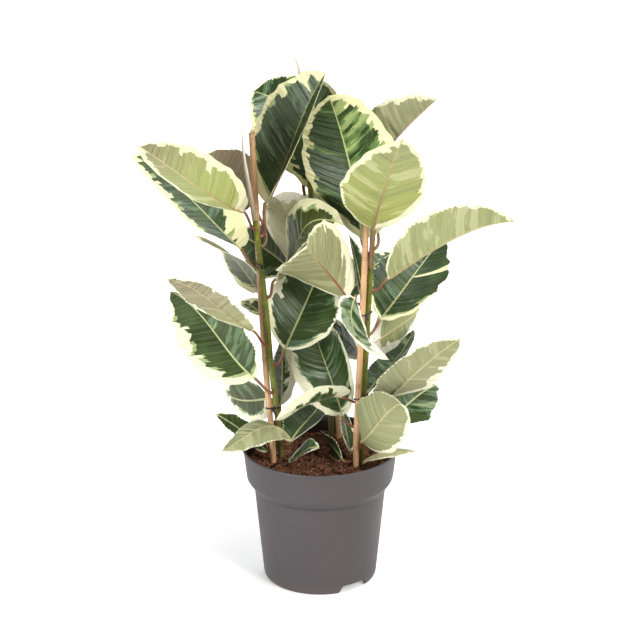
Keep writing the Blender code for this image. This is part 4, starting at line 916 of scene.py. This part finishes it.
def bambooFinish():
    nodes = Finish("bamboo")
    fibre, cloud = nodes.noise(900, 4, 0.65, (1, 1, 0.06)), nodes.noise(60, 3, stretch=(1, 1, 0.5))
    specks = nodes.noise(420, 2, stretch=(1, 1, 0.45))
    tint = nodes.blend(nodes.step(fibre, 0.3, 0.7), srgb(184, 138, 94), srgb(208, 168, 124))
    tint = nodes.blend(nodes.step(cloud, 0.5, 0.8, 0.0, 0.5), tint, srgb(176, 118, 74))
    tint = nodes.blend(nodes.step(specks, 0.66, 0.72, 0.0, 0.85), tint, srgb(84, 44, 26))
    return nodes.done(tint, 0.42, normal=nodes.bump(fibre, 0.00012))


def nodeFinish():
    nodes = Finish("bamboo node")
    return nodes.done(nodes.blend(nodes.step(nodes.noise(500, 3), 0.35, 0.65), srgb(108, 66, 40),
                                  srgb(178, 128, 84)), 0.6)


class Growth(Nodes):
    # a geometry tree with named inputs, which grows a plain mesh from a guide
    def __init__(self, name, inputs):
        super().__init__(bpy.data.node_groups.new(name, "GeometryNodeTree"))
        self.ids = {}
        for label, kind in {"Geometry": "Geometry", **inputs}.items():
            socket = self.tree.interface.new_socket(label, in_out="INPUT", socket_type="NodeSocket" + kind)
            self.ids[label] = socket.identifier
        self.tree.interface.new_socket("Geometry", in_out="OUTPUT", socket_type="NodeSocketGeometry")
        self.given = self.add("NodeGroupInput").outputs

    def shape(self, kind, inputs=None, **settings):
        return self.first("GeometryNode" + kind, inputs, **settings)

    def rod(self, path, sides, radius, caps=True):
        # a round rod along a path
        ring = self.shape("CurvePrimitiveCircle", {"Resolution": sides, "Radius": radius})
        return self.shape("CurveToMesh", {"Curve": path, "Profile Curve": ring, "Fill Caps": caps}), ring

    def painted(self, geometry, material):
        return self.shape("SetMaterial", {"Geometry": geometry, "Material": self.given[material]})

    def together(self, *parts):
        node = self.add("GeometryNodeJoinGeometry")
        for part in parts:
            self.put(node.inputs[0], part)
        return node.outputs[0]

    def random(self, low, high, vector=False):
        # one random number, or three, for each instance
        node = self.add("FunctionNodeRandomValue", {"Seed": self.given["Seed"]},
                        data_type="FLOAT_VECTOR" if vector else "FLOAT")
        first = 0 if vector else 2
        self.put(node.inputs[first], low)
        self.put(node.inputs[first + 1], high)
        return node.outputs[first // 2]

    def ends(self, geometry):
        self.put(self.add("NodeGroupOutput").inputs[0], geometry)
        return self

    def grow(self, name, guide, values):
        modifier = guide.modifiers.new(self.tree.name, "NODES")
        modifier.node_group = self.tree
        for label, value in values.items():
            modifier[self.ids[label]] = value
        return plainMesh(guide, name)


def caneGrowth():
    nodes = Growth("bamboo cane", {
        "Radius": "Float", "Sides": "Int", "Node spacing": "Float", "Ridge": "Float", "Ridge gap": "Float",
        "Shaft material": "Material", "Node material": "Material",
    })
    given = nodes.given
    path = nodes.shape("MeshToCurve", {"Mesh": given["Geometry"]})
    shaft, ring = nodes.rod(path, given["Sides"], given["Radius"])
    # one ridge is a thin ring round the shaft, and the second lies a little above it
    hoop = nodes.rod(ring, 8, given["Ridge"], caps=False)[0]
    lift = nodes.join(0.0, 0.0, given["Ridge gap"])
    upper = nodes.shape("Transform", {"Geometry": hoop, "Translation": lift})
    spots = nodes.add("GeometryNodeCurveToPoints", {"Curve": path, "Length": given["Node spacing"]},
                      mode="LENGTH").outputs
    ridges = nodes.shape("InstanceOnPoints", {
        "Points": spots["Points"], "Instance": nodes.together(hoop, upper), "Rotation": spots["Rotation"],
    })
    whole = nodes.together(nodes.painted(shaft, "Shaft material"), nodes.painted(ridges, "Node material"))
    solid = nodes.shape("RealizeInstances", {"Geometry": whole})
    return nodes.ends(nodes.shape("SetShadeSmooth", {"Geometry": solid}))


def buildCanes():
    growth, bamboo, node, shape = caneGrowth(), bambooFinish(), nodeFinish(), caneShape
    for side, route in caneRoutes.items():
        points = smoothRoute(route, int((route[-1][2] - route[0][2]) / shape["pointSpacing"]))
        mesh = bpy.data.meshes.new("canePath")
        mesh.from_pydata([tuple(p) for p in points], [(i, i + 1) for i in range(len(points) - 1)], [])
        piece = growth.grow("fine_cane_" + side, newObject("canePath", mesh), {
            "Radius": shape["radius"], "Sides": shape["sides"], "Node spacing": shape["nodeSpacing"],
            "Ridge": shape["ridge"], "Ridge gap": shape["ridgeGap"], "Shaft material": bamboo,
            "Node material": node,
        })
        piece.data.set_sharp_from_angle(angle=radians(50))
        settle(piece, "cane_" + side)


buildCanes()
print("canes are set")


# Wire ties, each a loop round a stem and its cane with its two ends twisted together

tieHeights = {"left": (0.243, 0.447), "right": (0.265, 0.383), "back": (0.255, 0.374)}
tieShape = {"radius": 0.0009, "gap": 0.0011, "halfSteps": 20, "sides": 10, "slope": 0.0012,
            "tailLength": 0.009, "tailTurns": 3.0, "tailRadius": 0.0009, "tailSteps": 36, "tailSides": 8,
            "tailHeading": (0.5, -1.0, -0.5)}


def wireFinish():
    nodes = Finish("plastic-coated wire")
    return nodes.done(nodes.blend(nodes.noise(800, 2), srgb(24, 24, 22), srgb(44, 42, 38)), 0.38)


def centreAt(route, height):
    points = smoothRoute(route, stemShape["rings"])
    return pickPoints(height, points[:, 2], points)


def tieLoop(stem, cane, height):
    # half a turn round the stem's far side, then half a turn round the cane's
    shape = tieShape
    heading = atan2(cane[1] - stem[1], cane[0] - stem[0])
    loop = []
    for centre, radius, start in ((stem, stemShape["radius"], heading + pi / 2),
                                  (cane, caneShape["radius"], heading - pi / 2)):
        reach = shape["gap"] + radius
        for k in range(shape["halfSteps"] + 1):
            angle = start + pi * k / shape["halfSteps"]
            loop.append((centre[0] + reach * cos(angle), centre[1] + reach * sin(angle),
                         height + shape["slope"] * sin(angle - heading)))
    return np.array(loop)


def joinMeshes(name, pieces):
    # several plain meshes of one material as one
    shape = bmesh.new()
    material = pieces[0].data.materials[0]
    for piece in pieces:
        shape.from_mesh(piece.data)
        bpy.data.objects.remove(piece)
    mesh = bpy.data.meshes.new(name)
    shape.to_mesh(mesh)
    shape.free()
    mesh.materials.append(material)
    mesh.shade_smooth()
    return newObject(name, mesh)


def tiePiece(name, stem, cane, height, wire):
    shape = tieShape
    loop = tieLoop(stem, cane, height)
    rings = tubeRings(np.concatenate((loop, loop[:1])), [shape["radius"]] * (len(loop) + 1), shape["sides"])
    parts = [meshPiece("loop", rings[:-1].reshape(-1, 3), ringFaces(len(loop), shape["sides"], closed=True),
                       [wire])]
    # the twisted tail stands off the loop, to the front and down
    start = (stem + cane) / 2 - np.array([0, shape["gap"] + stemShape["radius"], 0])
    ahead = unit(np.array(shape["tailHeading"]))
    across = unit(np.cross(ahead, (0, 0, 1)))
    t = np.linspace(0, 1, shape["tailSteps"])
    for turn in (0, pi):
        twist = circle(turn + t * shape["tailTurns"] * tau, across, np.cross(ahead, across))
        spiral = start + np.outer(t * shape["tailLength"], ahead) + shape["tailRadius"] * twist
        parts.append(tubePiece("tail", spiral, [shape["radius"]] * len(t), shape["tailSides"], wire))
    return joinMeshes(name, parts)


def buildTies():
    wire = wireFinish()
    for side, heights in tieHeights.items():
        for number, height in enumerate(heights, 1):
            stem, cane = centreAt(stemRoutes[side], height), centreAt(caneRoutes[side], height)
            name = f"tie_{side}_{number}"
            settle(tiePiece("fine_" + name, stem, cane, height, wire), name)


buildTies()
print("ties are wound")


# The pot: a fine lathe-turned wall with a rolled rim, a sloped step and two notches in its foot

pot = {
    # name of a place on the pot: its radius and height
    "rim": (0.105, 0.189), "collarFoot": (0.0995, 0.1450), "bodyTop": (0.0898, 0.1325),
    "base": (0.0767, 0.0), "pad": (0.029, 0.0), "axis": (0.0, 0.0),
    "wall": 0.0018, "floorLift": 0.012, "steps": 160, "softening": 0.0011, "softSteps": 4,
    "notches": 2, "firstNotch": radians(-53), "notchReach": 0.010,
    # height of each row of a notch, and its width there
    "notchRows": ((-0.004, 0.052), (0.0, 0.046), (0.009, 0.038), (0.011, 0.034)),
}


def potPoints(rows):
    # each row names a place on the pot, and how far out and up from there the point lies
    return [(pot[place][0] + out, pot[place][1] + up) for place, out, up in rows]


def rounded(profile, radius, steps):
    # replaces each inner corner of a profile by a short curve
    points = [np.array(p, float) for p in profile]
    smooth = [points[0]]
    for before, here, after in zip(points, points[1:], points[2:]):
        toBefore, toAfter = before - here, after - here
        reach = min(radius, np.linalg.norm(toBefore) * 0.45, np.linalg.norm(toAfter) * 0.45)
        start, end = here + unit(toBefore) * reach, here + unit(toAfter) * reach
        for t in np.linspace(0, 1, steps + 1):
            smooth.append((1 - t) ** 2 * start + 2 * t * (1 - t) * here + t ** 2 * end)
    return smooth + [points[-1]]


def lathe(profile, steps):
    # rings round the Z axis, top to bottom, with a point at each end that meets the axis
    points, faces, rows = [], [], []
    for radius, height in profile:
        start, turns = len(points), 1 if radius < 1e-6 else steps
        angles = [tau * j / steps for j in range(turns)]
        points += [(radius * cos(a), radius * sin(a), height) for a in angles]
        rows.append([start + j % turns for j in range(steps + 1)])
    for upper, lower in zip(rows, rows[1:]):
        for j in range(steps):
            corners = (upper[j], lower[j], lower[j + 1], upper[j + 1])
            faces.append(tuple(dict.fromkeys(corners)))
    return points, faces


def potProfile():
    wall, lift = pot["wall"], pot["floorLift"]
    inside = [
        ("axis", 0, wall), ("pad", -wall, wall), ("pad", 0.005, lift + wall),
        ("base", -2 * wall, lift + wall), ("bodyTop", -wall, 0.001), ("collarFoot", -wall - 0.0008, 0.001),
        ("rim", -wall - 0.0014, -0.006), ("rim", -wall - 0.0004, -0.0008), ("rim", -wall + 0.0006, 0),
    ]
    outside = [
        ("rim", -0.0002, 0), ("rim", 0.0005, -0.0008), ("rim", 0.0004, -0.0042), ("rim", -0.0010, -0.0051),
        ("collarFoot", 0, 0), ("collarFoot", -0.0018, -0.0030), ("bodyTop", 0.0020, 0.0010),
        ("bodyTop", 0.0013, -0.0008), ("bodyTop", -0.0004, -0.0006), ("bodyTop", -0.0005, -0.0030),
        ("base", 0.0004, 0.0035), ("base", -0.0014, 0), ("base", -0.0042, 0), ("base", -0.0055, lift),
        ("pad", 0.006, lift), ("pad", 0, 0), ("axis", 0, 0),
    ]
    return rounded(potPoints(inside + outside), pot["softening"], pot["softSteps"])


def potFinish():
    nodes = Finish("grey plastic")
    cloud, scuff = nodes.noise(14, 3), nodes.noise(160, 4, 0.7, (1, 1, 0.15))
    x, y, height = nodes.split(nodes.objectPlace())
    foot, top, rim = pot["bodyTop"][1], pot["collarFoot"], pot["rim"]
    tint = nodes.blend(cloud, srgb(71, 66, 67), srgb(77, 72, 73))
    tint = nodes.blend(nodes.step(scuff, 0.62, 0.80, 0.0, 0.35), tint, srgb(92, 88, 88))
    tint = nodes.blend(nodes.step(cloud * 0.02 + height, 0.008, 0.03, 0.12, 0.0), tint, srgb(132, 120, 108))
    # painted shade: the sloped step under the collar is darkened, most at its foot, as the shadow beneath
    # the collar
    shade = nodes.step(height, foot + 0.001, foot + 0.008, 0.42, 0.06)
    onStep = (height > foot - 0.0005) * (height < top[1])
    tint = nodes.blend(shade * onStep, tint, srgb(40, 38, 39))
    # peat stain and painted shade: the wall inside is darkened to a dark brown up to a little under the
    # rim, as the shade that falls in the pot
    lean = (rim[0] - 0.001 - top[0]) / (rim[1] - 0.005 - top[1])
    middle = height * lean + (top[0] - pot["wall"] / 2 - lean * top[1])
    inside = nodes.calc("SQRT", x * x + y * y) < middle
    stainAndShade = nodes.step(cloud * 0.02 + height, rim[1], rim[1] + 0.008, 0.9, 0.0)
    tint = nodes.blend(stainAndShade * (inside * (height > top[1] + 0.004)), tint, srgb(40, 30, 24))
    grain = nodes.bump(nodes.noise(1500, 2), 0.00006)
    return nodes.done(tint, nodes.step(cloud, 0.3, 0.7, 0.46, 0.56), 0.22, grain)


def notchCutter(number):
    # a block whose ends lean outwards to the floor
    angle = pot["firstNotch"] + number * tau / pot["notches"]
    outward, sideways = np.array([cos(angle), sin(angle), 0]), np.array([-sin(angle), cos(angle), 0])
    points = []
    for height, width in pot["notchRows"]:
        for out, along in ((-1, -1), (-1, 1), (1, 1), (1, -1)):
            middle = outward * (pot["base"][0] + out * pot["notchReach"]) + sideways * along * width / 2
            points.append((middle[0], middle[1], height))
    rows = len(pot["notchRows"])
    cutter = meshPiece(f"notch{number}", points, ringFaces(rows, 4) + capFaces(rows, 4), [])
    faceOutwards(cutter)
    return cutter


def buildPot():
    points, faces = lathe(potProfile(), pot["steps"])
    blank = meshPiece("potBlank", points, faces, [potFinish()], smoothAngle=30)
    faceOutwards(blank)
    cutters = [notchCutter(number) for number in range(pot["notches"])]
    for cutter in cutters:
        modifier = blank.modifiers.new("Notch", "BOOLEAN")
        modifier.operation = "DIFFERENCE"
        modifier.object = cutter
    piece = plainMesh(blank, "fine_pot")
    for cutter in cutters:
        bpy.data.objects.remove(cutter)
    piece.data.shade_smooth()
    piece.data.set_sharp_from_angle(angle=radians(35))
    settle(piece, "pot")


buildPot()
print("the pot is turned")


# Soil: a lumpy top with fibres and crumbs of peat strewn over it

soil = {
    "level": 0.165, "radius": 0.097, "ringCount": 64, "steps": 180, "clearance": 0.0004, "footLift": 0.0002,
    "lump": 0.0018, "roughness": 0.0011, "mound": 0.0022, "moundReach": 0.008,
}
# name: density, least and most size, and the tints of its darkest and lightest grain
grains = {
    "crumb": (110000.0, 0.0007, 0.0027, (18, 11, 8), (102, 66, 47)),
    "fibre": (42000.0, 0.5, 1.5, (60, 34, 22), (168, 122, 90)),
}
grainShape = {"seed": 5, "fibreLength": 0.0065, "fibreThickness": 0.00022, "fibreArc": 0.35, "wobble": 1.3}


def soilHeight(x, y):
    # lumps as a sum of waves at unlike angles, finer ones on top, and a mound round each stem and cane
    waves = (sin(91 * x + 1.3) * cos(83 * y - 0.4) + 0.7 * sin(171 * x - 139 * y)
             + 0.5 * cos(223 * y + 61 * x))
    fine = (sin(710 * x + 2.0 * sin(330 * y)) * cos(640 * y + 1.7 * sin(290 * x))
            + 0.6 * sin(1330 * x - 980 * y) * cos(1210 * y + 450 * x))
    height = soil["level"] + soil["lump"] * waves / 1.4 + soil["roughness"] * fine
    for route in [*stemRoutes.values(), *caneRoutes.values()]:
        away = np.hypot(x - route[1][0], y - route[1][1])
        height += soil["mound"] * np.exp(-(away / soil["moundReach"]) ** 2)
    return height


def earthFinish():
    nodes = Finish("peat")
    cloud, grain = nodes.noise(120, 5, 0.7), nodes.noise(900, 3)
    tint = nodes.blend(nodes.step(cloud, 0.3, 0.7), srgb(20, 13, 10), srgb(52, 33, 24))
    tint = nodes.blend(nodes.step(grain, 0.5, 0.8, 0.0, 0.6), tint, srgb(98, 64, 46))
    return nodes.done(tint, 0.95, 0.15, nodes.bump(grain, 0.0008))


def grainFinish(name, dark, light):
    # every crumb or fibre has a tone of its own
    nodes = Finish("peat " + name)
    tone = nodes.add("ShaderNodeAttribute", attribute_name="tone").outputs["Fac"]
    share = nodes.calc("MULTIPLY_ADD", nodes.noise(1200, 2), 0.3, tone, clamp=True)
    return nodes.done(nodes.blend(share, srgb(*dark), srgb(*light)), 0.9, 0.2)


def strewnGrowth(name):
    # strews small lumps or bent fibres over the upward faces of a surface
    nodes = Growth(f"strewn {name}s", {
        "Density": "Float", "Least size": "Float", "Most size": "Float", "Length": "Float",
        "Thickness": "Float", "Seed": "Int", "Material": "Material",
    })
    given = nodes.given
    fibres = name == "fibre"
    upward = nodes.split(nodes.add("GeometryNodeInputNormal").outputs[0])[2]
    chosen = nodes.first("FunctionNodeCompare", {"A": upward, "B": 0.5}, operation="GREATER_THAN")
    points = nodes.shape("DistributePointsOnFaces", {
        "Mesh": given["Geometry"], "Selection": chosen, "Density": given["Density"], "Seed": given["Seed"],
    }, distribute_method="RANDOM")
    if fibres:
        reach = Number(nodes, given["Length"])
        arc = reach * grainShape["fibreArc"]
        bend = nodes.shape("CurveQuadraticBezier", {
            "Resolution": 6, "Start": nodes.join(reach * -0.5, 0.0, 0.0),
            "Middle": nodes.join(0.0, arc, arc), "End": nodes.join(reach * 0.5, 0.0, 0.0),
        })
        lump = nodes.rod(bend, 4, given["Thickness"])[0]
    else:
        lump = nodes.shape("MeshIcoSphere", {"Radius": 1.0, "Subdivisions": 1})
    size = nodes.random(given["Least size"], given["Most size"])
    least, most = ((-0.5, -0.5, 0), (0.5, 0.5, tau)) if fibres else ((0, 0, 0), (tau, tau, tau))
    turn = nodes.random(least, most, vector=True)
    placed = nodes.shape("InstanceOnPoints", {
        "Points": points, "Instance": lump, "Rotation": turn, "Scale": size,
    })
    kept = nodes.shape("StoreNamedAttribute", {
        "Geometry": placed, "Name": "tone", "Value": nodes.random(0.0, 1.0),
    }, data_type="FLOAT", domain="INSTANCE")
    solid = nodes.shape("RealizeInstances", {"Geometry": kept})
    if not fibres:
        # a little noise takes the regular look off the lumps
        noise = nodes.add("ShaderNodeTexNoise", {"Scale": 700.0, "Detail": 1.0}).outputs["Color"]
        reach = Number(nodes, given["Most size"]) * grainShape["wobble"]
        parts = [(part - 0.5) * reach for part in nodes.split(noise)]
        solid = nodes.shape("SetPosition", {"Geometry": solid, "Offset": nodes.join(*parts)})
    return nodes.ends(nodes.painted(solid, "Material"))


def buildSoil():
    wall, lift = pot["wall"] + soil["clearance"], pot["floorLift"] + soil["footLift"]
    profile = [(r, soil["level"]) for r in np.linspace(0, soil["radius"], soil["ringCount"])] + potPoints([
        ("collarFoot", -wall - 0.0012, 0.001), ("bodyTop", -wall, 0.001),
        ("base", -wall - 0.0022, lift + wall), ("pad", 0.005, lift + wall),
        ("pad", -wall - 0.0006, wall), ("axis", 0, wall),
    ])
    points, faces = lathe(profile, soil["steps"])
    points = [(x, y, soilHeight(x, y) if z > soil["level"] - 0.0005 else z) for x, y, z in points]
    bed = meshPiece("fine_soil", points, faces, [earthFinish()], smoothAngle=70)
    for name, (density, least, most, dark, light) in grains.items():
        piece = strewnGrowth(name).grow(f"fine_{name}s", newObject("soilTop", bed.data.copy()), {
            "Density": density, "Least size": least, "Most size": most, "Length": grainShape["fibreLength"],
            "Thickness": grainShape["fibreThickness"], "Seed": grainShape["seed"],
            "Material": grainFinish(name, dark, light),
        })
        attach(piece, "root")
    settle(bed, "soil")


buildSoil()
print("the soil is laid")
